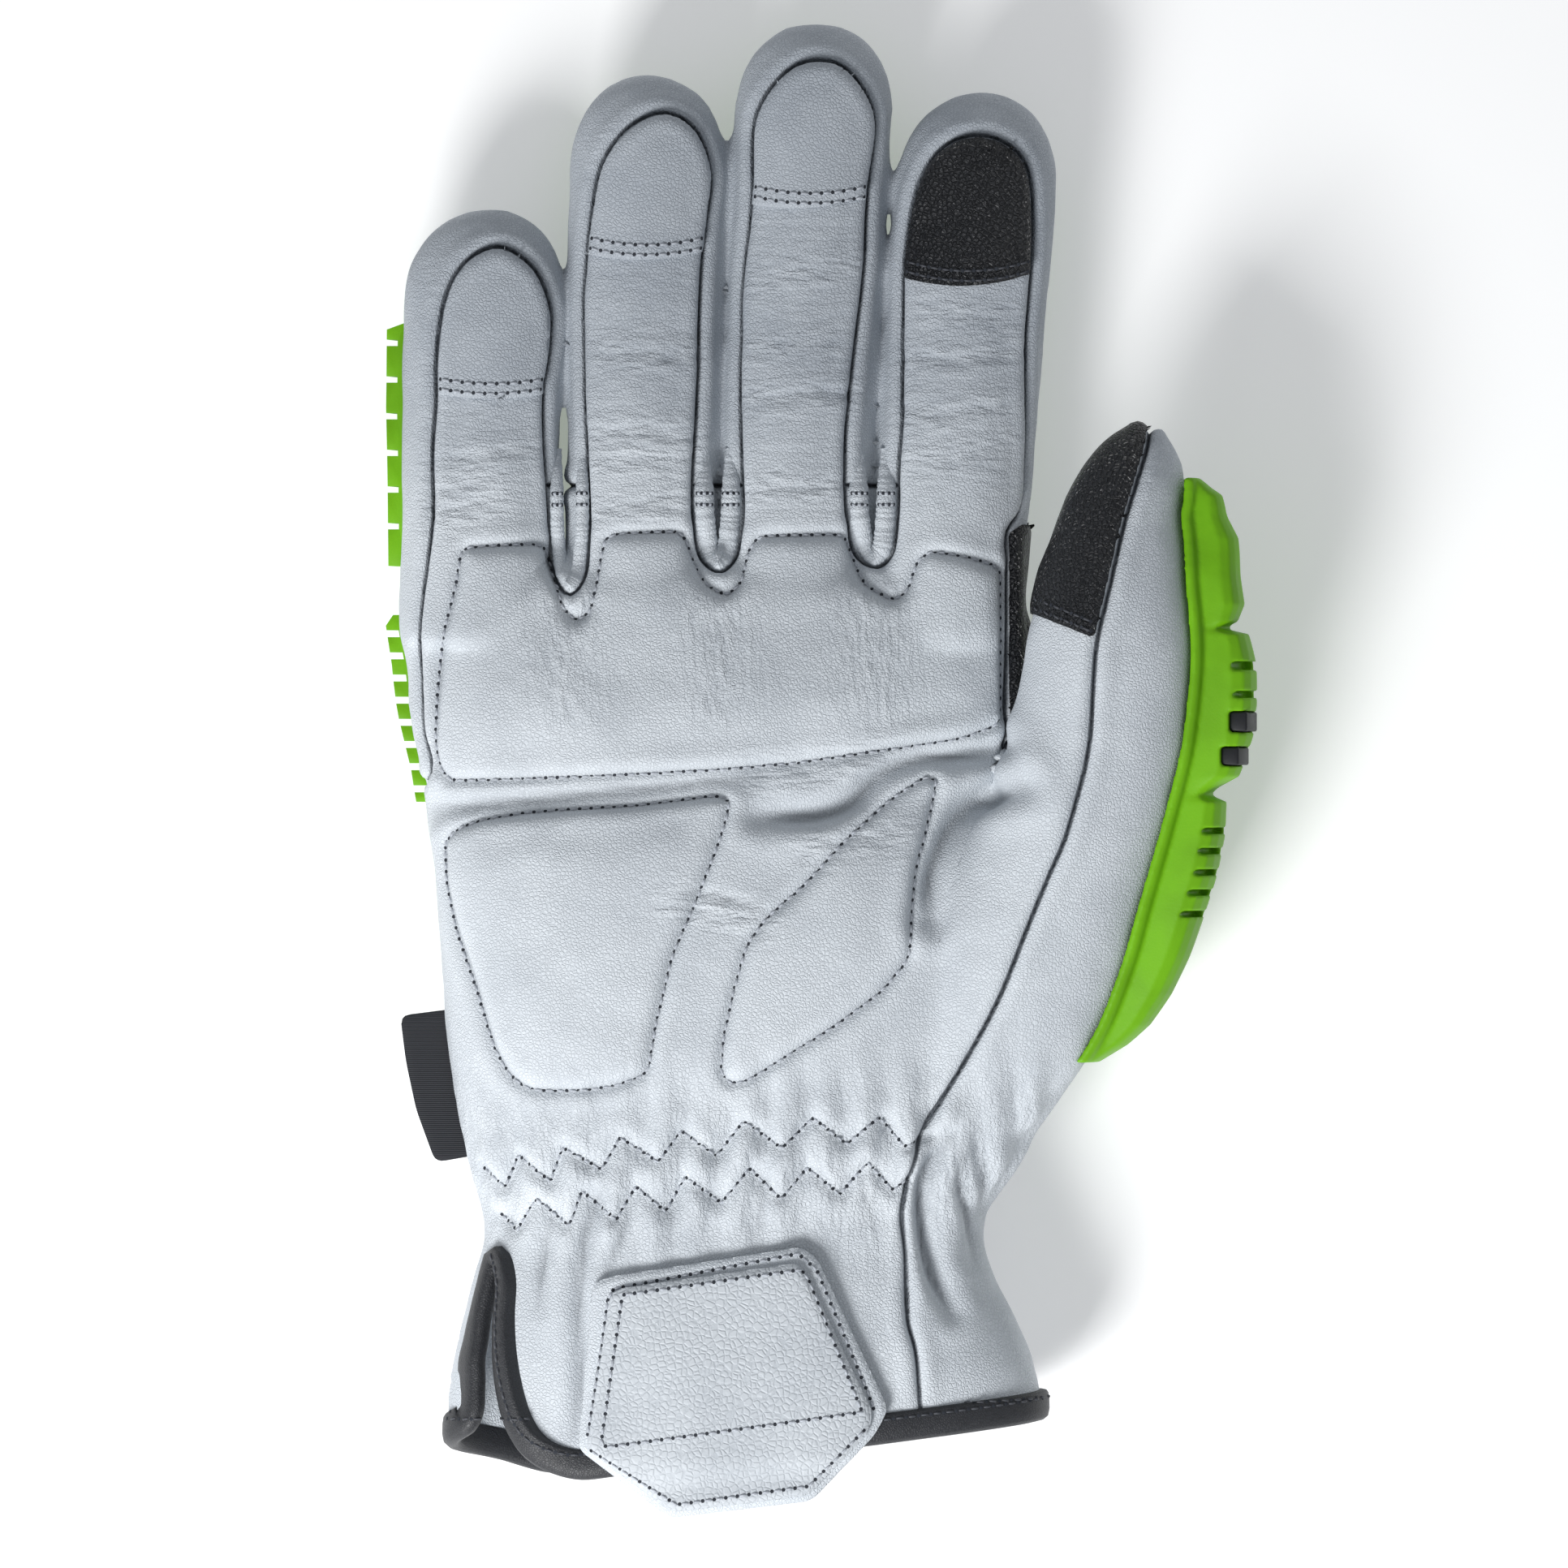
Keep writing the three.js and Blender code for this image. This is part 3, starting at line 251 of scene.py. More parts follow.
SLIT_BACK = ((-59.6, -111.0), (-59.5, -106.0), (-59.2, -100.0), (-58.3, -94.0), (-57.2, -89.0),
             (-55.9, -84.5))
# how far the fold of the bound hem lies below the leather's hem line
HEM_FOLD = 4.2
HEM_CORNER = (
    # y, degrees round the cuff
    (-119.4, -142.0), (-118.3, -152.0), (-117.6, -162.0), (-116.9, -172.0), (-116.0, -182.0),
    (-115.2, -190.0), (-114.2, -198.0), (-112.9, -204.0),
)
HEM_END = -128
# radii of the three welts, and where they end
BEADS = (1.2, 1.75, 1.75)
BEAD_TOP = 58.0
# lower edge of the thumb's patch: its lowest place, rise, right end and width
THUMB_PATCH = (24.2, 6.6, 49.0, 15.4)
CROTCH_PATCH = ((34.4, 4.4), (34.2, 42.8), (36.2, 44.5), (45.0, 44.5), (45.0, 4.4))
LABEL = ((-72.6, -41.5), (-56.0, -39.4), (-56.0, -65.5), (-66.4, -67.3), (-69.8, -58.0), (-71.6, -49.5))
THUMB_GUARD = (
    # at along the length, height of the guard
    (0.210, 0.15), (0.203, 0.35), (0.198, 0.53), (0.168, 0.80), (0.142, 0.78), (0.122, 0.80), (0.110, 0.65),
    (0.105, 0.41), (0.101, 0.82), (0.080, 0.94), (0.052, 1.00), (0.030, 1.00), (0.002, 0.90), (-0.006, 0.59),
    (-0.011, 0.49), (-0.016, 0.80), (-0.039, 0.92), (-0.066, 0.97), (-0.096, 0.94), (-0.124, 0.88),
    (-0.150, 0.80), (-0.172, 0.65), (-0.186, 0.45), (-0.198, 0.16),
)
GUARD_SLOTS = (
    # at along the length, deep, wide, arc, degrees round the thumb
    (0.0790, 3.6, 1.5, 16.0, 12.0), (0.0590, 3.4, 1.2, 16.0, 12.0), (0.0400, 3.6, 3.7, 14.0, 14.0),
    (0.0160, 3.6, 3.4, 14.0, 14.0), (-0.036, 3.2, 1.1, 15.0, 14.0), (-0.050, 3.2, 1.1, 15.0, 14.0),
    (-0.065, 3.2, 1.1, 15.0, 14.0), (-0.079, 3.2, 1.1, 15.0, 14.0), (-0.094, 3.2, 1.1, 15.0, 14.0),
)
# how far round the guard reaches on the palm side, as a share of its back side
GUARD_FRONT = 0.66
GUARD_SECTION = (
    # degrees round the thumb, share of the flange, share of the block above it
    (48, 0.6, 0.0), (45, 0.9, 0.0), (42, 1.0, 0.0), (37.5, 1.0, 0.0), (36.5, 1.0, 0.06), (33.5, 1.0, 0.62),
    (29, 1.0, 0.84), (22, 1.0, 0.94), (12, 1.0, 1.0), (0, 1.0, 1.0),
)
# length and height of an inlay, how far it is sunk in its slot, and how far lowered
INLAY = (3.2, 9.0, 2.1, 2.5)
POWER = {"hand": 2.45, "thumb": 2.05}
FINGER_POWER = 2.25
BINDING_SECTION = (
    # into the leather, out of it
    (4.5, 0.05), (4.4, 0.5), (4.0, 0.78), (2.9, 0.95), (1.2, 1.0), (-0.1, 0.75), (-0.75, 0.0), (-0.95, -0.8),
    (-0.7, -1.7), (0.0, -2.3), (1.6, -2.5), (3.9, -2.35), (4.4, -2.1), (4.5, -1.6),
)
# values that the leather's material reads at each point: seam, pad and fold say where it paints shade into
# seam grooves, pad edges and folds; across and along say where it wrinkles
MASKS = ("seam", "pad", "fold", "across", "along")


# Curves and tubes

def sizes():
    """The glove's sizes, in millimetres."""
    group = bpy.context.scene.glove_sizes
    return SimpleNamespace(**{key: round(getattr(group, key) / MM, 4) for key in GloveSizes.__annotations__})


def colours():
    """The glove's colours."""
    return bpy.context.scene.glove_colours


def curve_through(xs, ys, x):
    """A smooth curve through a table, without overshoot."""
    xs, ys = np.asarray(xs, float), np.asarray(ys, float)
    slope = np.diff(ys) / np.diff(xs)
    tangent = np.concatenate([slope[:1], np.zeros(len(slope) - 1), slope[-1:]])
    both = slope[:-1] * slope[1:]
    tangent[1:-1] = np.where(both > 0, 2 * both / np.where(both > 0, slope[:-1] + slope[1:], 1), 0)
    i = np.clip(np.searchsorted(xs, x) - 1, 0, len(xs) - 2)
    step = xs[i + 1] - xs[i]
    t = np.clip((x - xs[i]) / step, 0, 1)
    return ((2 * t**3 - 3 * t**2 + 1) * ys[i] + (t**3 - 2 * t**2 + t) * step * tangent[i]
            + (3 * t**2 - 2 * t**3) * ys[i + 1] + (t**3 - t**2) * step * tangent[i + 1])


def smooth_line(points, spacing=0.8, closed=False):
    """A smooth line through points, with centripetal tangents, at even spacing."""
    p = np.asarray(points, float)
    n = len(p)
    count = n if closed else n - 1
    made = []
    for i in range(count):
        a, b = p[i], p[(i + 1) % n]
        before = p[i - 1] if (closed or i > 0) else 2 * a - b
        after = p[(i + 2) % n] if (closed or i + 2 < n) else 2 * b - a
        t1, t2 = np.linalg.norm(b - a), 0
        ta = np.sqrt(np.linalg.norm(a - before)) + 1e-6
        tb = np.sqrt(t1) + 1e-6
        tc = np.sqrt(np.linalg.norm(after - b)) + 1e-6
        ma = (b - a) + tb * ((a - before) / ta - (b - before) / (ta + tb))
        mb = (b - a) + tb * ((after - b) / tc - (after - a) / (tb + tc))
        steps = max(2, int(np.ceil(t1 / spacing)))
        for t in np.arange(steps) / steps:
            made.append((2 * t**3 - 3 * t**2 + 1) * a + (t**3 - 2 * t**2 + t) * ma
                        + (3 * t**2 - 2 * t**3) * b + (t**3 - t**2) * mb)
    if not closed:
        made.append(p[-1])
    return np.array(made)


def straight_line(points, spacing=0.3):
    """Even points along straight runs between the points given."""
    p = np.asarray(points, float)
    made = [p[0]]
    for a, b in zip(p[:-1], p[1:]):
        steps = max(1, int(round(np.linalg.norm(b - a) / spacing)))
        made += [a + (b - a) * t for t in (np.arange(steps) + 1) / steps]
    return np.array(made)


def pad_line(outline):
    """The closed outline of a pad, with small rounded corners."""
    return smooth_line(smooth_corners(outline, 2.0), 0.7, True)


def round_end(t, power):
    """How wide a rounded end is at share t of its length."""
    return np.maximum(0.0, 1 - np.asarray(t, float) ** power) ** (1 / power)


def hand_stations():
    """Sections of hand and cuff, from the hem to the closed end: y, x, z, half width, half depth."""
    s = sizes()
    rows = np.array(sorted(HAND))
    y = np.linspace(rows[0, 0], rows[-1, 0], 90)
    left, right, back, front = (curve_through(rows[:, 0], rows[:, k], y) for k in (1, 2, 3, 4))
    body = np.stack([y * s.length, (left + right) / 2 * s.palm, (back + front) / 2 * s.depth,
                     (right - left) / 2 * s.palm, (front - back) / 2 * s.depth], 1)
    t = np.array([0.25, 0.45, 0.62, 0.76, 0.87, 0.94, 0.98])
    end = np.repeat(body[-1:], len(t), 0)
    end[:, 0] += t * 0.05 * s.length
    end[:, 3:] *= round_end(t, 2.2)[:, None]
    return np.concatenate([body, end])


def finger_stations(name):
    """Sections of one finger, from its root to its tip."""
    s = sizes()
    x, lean, tip, wide = FINGERS[name][:4]
    rows = np.array(FINGER_ROWS)
    y0, y1 = ROOT * s.length, tip * s.length - TIP * s.finger * wide
    share = np.linspace(0, 1, 30)
    y = y0 + (y1 - y0) * share
    w, back, front = (curve_through(rows[:, 0], rows[:, k], share) for k in (1, 2, 3))
    line = x * s.palm + lean * (y - 0.12 * s.length)
    body = np.stack([y, line, (back + front) / 2 * s.depth, w * wide * s.finger / 2,
                     (front - back) / 2 * s.depth], 1)
    t = np.array([0.12, 0.24, 0.36, 0.48, 0.6, 0.7, 0.79, 0.87, 0.93, 0.97, 0.99])
    end = np.repeat(body[-1:], len(t), 0)
    end[:, 0] += t * TIP * s.finger * wide
    end[:, 1] += lean * t * TIP * s.finger * wide
    end[:, 2] += TURN * s.finger * t**2
    end[:, 3:] *= round_end(t, 2.15)[:, None]
    return np.concatenate([body, end])


def thumb_stations():
    """Sections of the thumb, from inside the palm to its tip."""
    s = sizes()
    rows = np.array(THUMB)
    y = np.linspace(rows[0, 0], rows[-1, 0], 50)
    x, wide, z, deep = (curve_through(rows[:, 0], rows[:, k], y) for k in (1, 2, 3, 4))
    body = np.stack([y * s.length, x * s.palm, z * s.depth, wide * s.thumb / 2, deep * s.depth / 2], 1)
    t = np.array([0.12, 0.25, 0.38, 0.5, 0.62, 0.73, 0.82, 0.9, 0.95, 0.985])
    end = np.repeat(body[-1:], len(t), 0)
    length, x_lean, z_lean = (k * s.thumb for k in THUMB_END)
    end[:, 0] += t * length
    end[:, 1] += t * x_lean
    end[:, 2] += t * z_lean
    end[:, 3:] *= round_end(t, 1.8)[:, None]
    return np.concatenate([body, end])


def on_tube(station, power, angle, out=0.0):
    """A point of a section at an angle in radians, out millimetres outside it."""
    c, s = np.cos(angle), np.sin(angle)
    x = np.sign(c) * np.abs(c) ** (2 / power)
    z = np.sign(s) * np.abs(s) ** (2 / power)
    return np.stack([station[..., 1] + x * (station[..., 3] + out), station[..., 0] + 0 * x,
                     station[..., 2] + z * (station[..., 4] + out)], -1)


def tube_mesh(stations, power, around, out=0.0):
    """Points and faces of one closed tube."""
    angle = np.arange(around) / around * 2 * np.pi
    rings = on_tube(stations[:, None, :], power, angle[None, :], out)
    n, count = around, len(stations)
    points = rings.reshape(-1, 3)
    k = np.arange(n)
    faces = [(i * n + a, i * n + (a + 1) % n, (i + 1) * n + (a + 1) % n, (i + 1) * n + a)
             for i in range(count - 1) for a in k]
    faces += [tuple(k[::-1]), tuple((count - 1) * n + k)]
    return points, faces


def level(stations, power, p):
    """About how far points lie outside a tube, in millimetres."""
    x, z, w, h = (np.interp(p[:, 1], stations[:, 0], stations[:, k]) for k in (1, 2, 3, 4))
    q = (np.abs((p[:, 0] - x) / w) ** power + np.abs((p[:, 2] - z) / h) ** power) ** (1 / power)
    beyond = np.maximum(stations[0, 0] - p[:, 1], p[:, 1] - stations[-1, 0])
    return np.maximum((q - 1) * np.minimum(w, h), beyond)


def hand_front(x, y, out=0.0):
    """Height of the palm side of the hand at plan points."""
    st = WORK["hand"]
    x0, z0, w, h = (np.interp(y, st[:, 0], st[:, k]) for k in (1, 2, 3, 4))
    p = POWER["hand"]
    q = np.clip(np.abs((x - x0) / (w + out)), 0, 0.999) ** p
    return z0 + (h + out) * (1 - q) ** (1 / p)


# Meshes as arrays: points by columns of values, and triangles

def new_object(name, points, faces, smooth=True):
    """A mesh object from points in millimetres."""
    mesh = bpy.data.meshes.new(name)
    places = (np.asarray(points)[:, :3] * MM).tolist()
    mesh.from_pydata(places, [], [tuple(f) for f in np.asarray(faces, object)])
    mesh.validate()
    mesh.update()
    if smooth:
        mesh.shade_smooth()
    obj = bpy.data.objects.new(name, mesh)
    bpy.context.scene.collection.objects.link(obj)
    return obj


def only(obj):
    """Selects one object alone."""
    bpy.ops.object.select_all(action="DESELECT")
    bpy.context.view_layer.objects.active = obj
    obj.select_set(True)


def apply_modifier(obj, kind, **values):
    """Adds one modifier, sets it and applies it."""
    only(obj)
    mod = obj.modifiers.new(kind.title(), kind)
    for key, value in values.items():
        setattr(mod, key, value)
    bpy.ops.object.modifier_apply(modifier=mod.name)


def arrays(obj):
    """Points in millimetres and triangles of an object."""
    mesh = obj.data
    p = np.zeros(len(mesh.vertices) * 3)
    mesh.vertices.foreach_get("co", p)
    mesh.calc_loop_triangles()
    t = np.zeros(len(mesh.loop_triangles) * 3, np.int64)
    mesh.loop_triangles.foreach_get("vertices", t)
    return p.reshape(-1, 3) / MM, t.reshape(-1, 3)


def normals(points, faces):
    """Area weighted normals at the points."""
    p = points[:, :3]
    across = np.cross(p[faces[:, 1]] - p[faces[:, 0]], p[faces[:, 2]] - p[faces[:, 0]])
    total = np.zeros((len(p), 3))
    for k in range(3):
        np.add.at(total, faces[:, k], across)
    return total / np.maximum(np.linalg.norm(total, axis=1, keepdims=True), 1e-12)


def relax(values, faces, rounds, keep=0.5):
    """Evens values out over the mesh."""
    edges = np.concatenate([faces[:, [0, 1]], faces[:, [1, 2]], faces[:, [2, 0]]])
    edges = np.unique(np.sort(edges, 1), axis=0)
    count = np.bincount(edges.ravel(), minlength=len(values)).astype(float)[:, None]
    v = values.copy()
    for _ in range(rounds):
        total = np.zeros_like(v)
        for k in range(v.shape[1]):
            total[:, k] = (np.bincount(edges[:, 0], v[edges[:, 1], k], len(v))
                           + np.bincount(edges[:, 1], v[edges[:, 0], k], len(v)))
        v = v * keep + total / np.maximum(count, 1) * (1 - keep)
    return v


def compact(points, faces):
    """Leaves out the points that no face uses."""
    used, index = np.unique(faces, return_inverse=True)
    return points[used], index.reshape(faces.shape)


def keep_side(points, faces, field):
    """The part of a mesh where the field is above zero, and the points on its new edge."""
    inside = field > 0
    count = inside[faces].sum(1)
    kept = [faces[count == 3]]
    groups = []
    for number, odd in ((1, True), (2, False)):
        f = faces[count == number]
        first = np.argmax(inside[f] == odd, axis=1)
        row = np.arange(len(f))
        groups.append([f[row, (first + k) % 3] for k in range(3)])
    pairs = np.concatenate([np.stack([g[0], g[k]], 1) for g in groups for k in (1, 2)])
    if len(pairs) == 0:
        return (*compact(points, kept[0]), np.zeros((0, points.shape[1])))
    unique, index = np.unique(np.sort(pairs, 1), axis=0, return_inverse=True)
    index = index.reshape(-1)
    a, b = field[unique[:, 0]], field[unique[:, 1]]
    t = (a / np.where(a == b, 1, a - b))[:, None]
    made = points[unique[:, 0]] * (1 - t) + points[unique[:, 1]] * t
    index = index + len(points)
    one, two = len(groups[0][0]), len(groups[1][0])
    ab1, ac1, ab2, ac2 = np.split(index, [one, 2 * one, 2 * one + two])
    kept.append(np.stack([groups[0][0], ab1, ac1], 1))
    kept.append(np.stack([ab2, groups[1][1], groups[1][2]], 1))
    kept.append(np.stack([ab2, groups[1][2], ac2], 1))
    full = np.concatenate([points, made])
    edge = np.concatenate([(full[ab1] + full[ac1]) / 2, (full[ab2] + full[ac2]) / 2, made])
    return (*compact(full, np.concatenate(kept)), edge)


def refine(points, faces, fine):
    """Halves the edges whose two ends are marked."""
    edges = np.sort(np.concatenate([faces[:, [0, 1]], faces[:, [1, 2]], faces[:, [2, 0]]]), 1)
    unique, index = np.unique(edges, axis=0, return_inverse=True)
    index = index.reshape(-1)
    cut = fine[unique].all(1)
    number = np.cumsum(cut) - 1 + len(points)
    number[~cut] = -1
    mid = number[index].reshape(3, -1).T
    full = np.concatenate([points, points[unique[cut]].mean(1)])
    a, b, c = faces.T
    ab, bc, ca = mid.T
    out = []
    k = (mid >= 0).sum(1)
    out.append(faces[k == 0])
    m = k == 3
    for tri in ((a, ab, ca), (b, bc, ab), (c, ca, bc), (ab, bc, ca)):
        out.append(np.stack([q[m] for q in tri], 1))
    for p, q, r, pq, qr, rp in ((a, b, c, ab, bc, ca), (b, c, a, bc, ca, ab), (c, a, b, ca, ab, bc)):
        m = (k == 1) & (pq >= 0)
        out.append(np.stack([p[m], pq[m], r[m]], 1))
        out.append(np.stack([pq[m], q[m], r[m]], 1))
        m = (k == 2) & (rp < 0)
        out.append(np.stack([q[m], qr[m], pq[m]], 1))
        out.append(np.stack([p[m], pq[m], qr[m]], 1))
        out.append(np.stack([p[m], qr[m], r[m]], 1))
    return full, np.concatenate(out)


def line_distance(line, p, closed=False):
    """Distance in plan from points to a line."""
    q = np.concatenate([line, line[:1]]) if closed else line
    a, b = q[:-1], q[1:]
    best = np.full(len(p), 1e9)
    step = b - a
    size = np.maximum((step**2).sum(1), 1e-12)
    for start in range(0, len(p), 20000):
        part = p[start:start + 20000, None, :2]
        t = np.clip(((part - a) * step).sum(2) / size, 0, 1)
        near = part - a - t[..., None] * step
        best[start:start + 20000] = np.sqrt((near**2).sum(2).min(1))
    return best


def inside_distance(line, p):
    """Distance in plan to a closed line, above zero inside it."""
    far = line_distance(line, p, True)
    x, y = p[:, 0], p[:, 1]
    odd = np.zeros(len(p), bool)
    for (ax, ay), (bx, by) in zip(line, np.roll(line, -1, 0)):
        crosses = (ay > y) != (by > y)
        if crosses.any():
            at = ax + (y - ay) / (by - ay if by != ay else 1e-9) * (bx - ax)
            odd ^= crosses & (x < at)
    return np.where(odd, far, -far)


def nearest(targets, p, limit=6.0):
    """Distance from points to the nearest of many targets, up to a limit."""
    tree = KDTree(len(targets))
    for i, q in enumerate(targets[:, :3]):
        tree.insert(q, i)
    tree.balance()
    return np.array([min(limit, tree.find(q)[2]) for q in p[:, :3]])


def bell(d, width):
    """One at zero distance, falling off smoothly."""
    return np.exp(-((d / width) ** 2))


def ease(x, low, high):
    """A smooth step from zero at low to one at high."""
    t = np.clip((x - low) / (high - low), 0, 1)
    return t * t * (3 - 2 * t)


def value_noise(p, size, seed):
    """Smooth noise between minus one and one, seeded."""
    rng = np.random.default_rng(seed)
    table = rng.uniform(-1, 1, (32, 32, 32))
    q = p[:, :3] / size + 100.0
    i = np.floor(q).astype(int)
    f = q - i
    f = f * f * (3 - 2 * f)
    total = np.zeros(len(p))
    for dx in (0, 1):
        for dy in (0, 1):
            for dz in (0, 1):
                w = (np.where(dx, f[:, 0], 1 - f[:, 0]) * np.where(dy, f[:, 1], 1 - f[:, 1])
                     * np.where(dz, f[:, 2], 1 - f[:, 2]))
                total += w * table[(i[:, 0] + dx) % 32, (i[:, 1] + dy) % 32, (i[:, 2] + dz) % 32]
    return total


# The leather form and its panels

def palm_line():
    """The edge of the palm panel in plan."""
    names = list(TIP_SEAMS)
    points = list(OUTER_SEAM)
    for k, name in enumerate(names):
        points += list(TIP_SEAMS[name])
        if k < 3:
            points += list(CROTCH_SEAMS[k])
    points += list(INDEX_SIDE)
    lower = [q for q in LONG_SEAM if q[1] <= 1.0]
    head = smooth_line(points, 0.9)
    return np.concatenate([head, smooth_line(lower, 0.9)])


def make_form():
    """One smooth skin over hand, fingers and thumb."""
    s = sizes()
    WORK["hand"] = hand_stations()
    tubes = [(WORK["hand"], POWER["hand"], 120)]
    tubes += [(finger_stations(name), FINGER_POWER, 64) for name in FINGERS]
    tubes += [(thumb_stations(), POWER["thumb"], 72)]
    WORK["tubes"] = tubes
    points, faces, shift = [], [], 0
    inset = -0.6
    for stations, power, around in tubes:
        p, f = tube_mesh(stations, power, around, inset)
        points.append(p)
        faces += [tuple(i + shift for i in face) for face in f]
        shift += len(p)
    form = new_object("form", np.concatenate(points), faces)
    apply_modifier(form, "REMESH", mode="VOXEL", voxel_size=s.mesh * MM)
    p, t = arrays(form)
    bpy.data.objects.remove(form)
    p = relax(p, t, 5)
    p = p + normals(p, t) * 0.75
    p = relax(p, t, 2)
    return p, t


def panel_fields(p):
    """Fields that part the form into palm, thumb side, gussets and back."""
    line = palm_line()
    thumb = level(WORK["tubes"][-1][0], POWER["thumb"], p) - 0.9
    high = SPLIT * sizes().depth
    flat = inside_distance(line, p)
    hand = np.minimum(flat, p[:, 2] - high)
    side = smooth_line([q for q in LONG_SEAM if q[1] >= -3.0], 0.9)
    ring = np.concatenate([side, [[20.0, side[-1][1]], [20.0, 80.0], [59.5, 80.0]]])
    on_thumb = np.minimum(np.minimum(inside_distance(ring, p), p[:, 2] - high - 2), -thumb)
    palm = np.maximum(hand, np.where(p[:, 1] > 0.6, on_thumb, -9))
    thumb_side = np.maximum(np.minimum(-thumb + 0.6, p[:, 1] - 0.9), inside_distance(np.array(THUMB_SIDE), p))
    right = np.array([q for q in LONG_SEAM if q[1] <= 1.0] + [(95, -140), (95, 1.2)], float)
    thumb_side = np.maximum(thumb_side, np.minimum(inside_distance(right, p), p[:, 2] - high))
    gusset = np.full(len(p), -9.0)
    for x in CROTCH_X:
        around = np.minimum(9.5 - np.abs(p[:, 0] - x), np.minimum(51.5 - p[:, 1], p[:, 1] - 20))
        gusset = np.maximum(gusset, np.minimum(around, p[:, 2] - 11.5))
    return palm, thumb_side, gusset


def cuff_rows():
    """The fold of the bound edge as length and angle: down the slit, round the hem, up to the slit."""
    s = sizes()
    front = np.array(SLIT_FRONT)
    rows = list(zip(front[:, 1], angle_at(front[:, 0], front[:, 1])))
    for k in np.radians(np.arange(math.degrees(rows[-1][1]) - 6, HEM_END, -5)):
        x = hand_point(np.array([-120.0]), np.array([k]))[0, 0]
        rows.append((HEM * s.length + HEM_SLOPE * x - HEM_FOLD, k))
    return rows + [(y, math.radians(k)) for y, k in HEM_CORNER]


def cuff_field(p):
    """Above zero where the leather is: short of the hem's fold and out of the slit."""
    st = WORK["hand"]
    x0, z0, w, h = (np.interp(p[:, 1], st[:, 0], st[:, k]) for k in (1, 2, 3, 4))
    power = POWER["hand"] / 2
    c, d = (p[:, 0] - x0) / w, (p[:, 2] - z0) / h
    angle = np.arctan2(np.sign(d) * np.abs(d) ** power, np.sign(c) * np.abs(c) ** power)
    angle = np.where(angle > 2.62, angle - 2 * math.pi, angle)
    y, k = np.array(cuff_rows()[len(SLIT_FRONT) - 1:]).T
    hem = np.interp(angle, k[::-1], y[::-1]) + 1.4
    foot, heel = SLIT_FRONT[-1][0], SLIT_BACK[0][0]
    ring = np.array([*SLIT_FRONT, (foot, -150.0), (heel, -150.0), *SLIT_BACK[:-1]])
    slit = np.where(d > 0, inside_distance(ring, p), -9.0)
    return np.minimum(p[:, 1] - hem, -slit - 0.5)


def pad_distance(p):
    """Distance in plan to the edges of the pads, above zero inside them."""
    pad = np.full(len(p), -9.0)
    for outline in PADS.values():
        pad = np.maximum(pad, inside_distance(pad_line(outline), p))
    return np.where(p[:, 2] > 23, pad, -9.0)


def from_ends(line, p):
    """Distance in plan from points to the nearer end of a line."""
    return np.minimum(*(np.linalg.norm(p[:, :2] - end, axis=1) for end in (line[0], line[-1])))


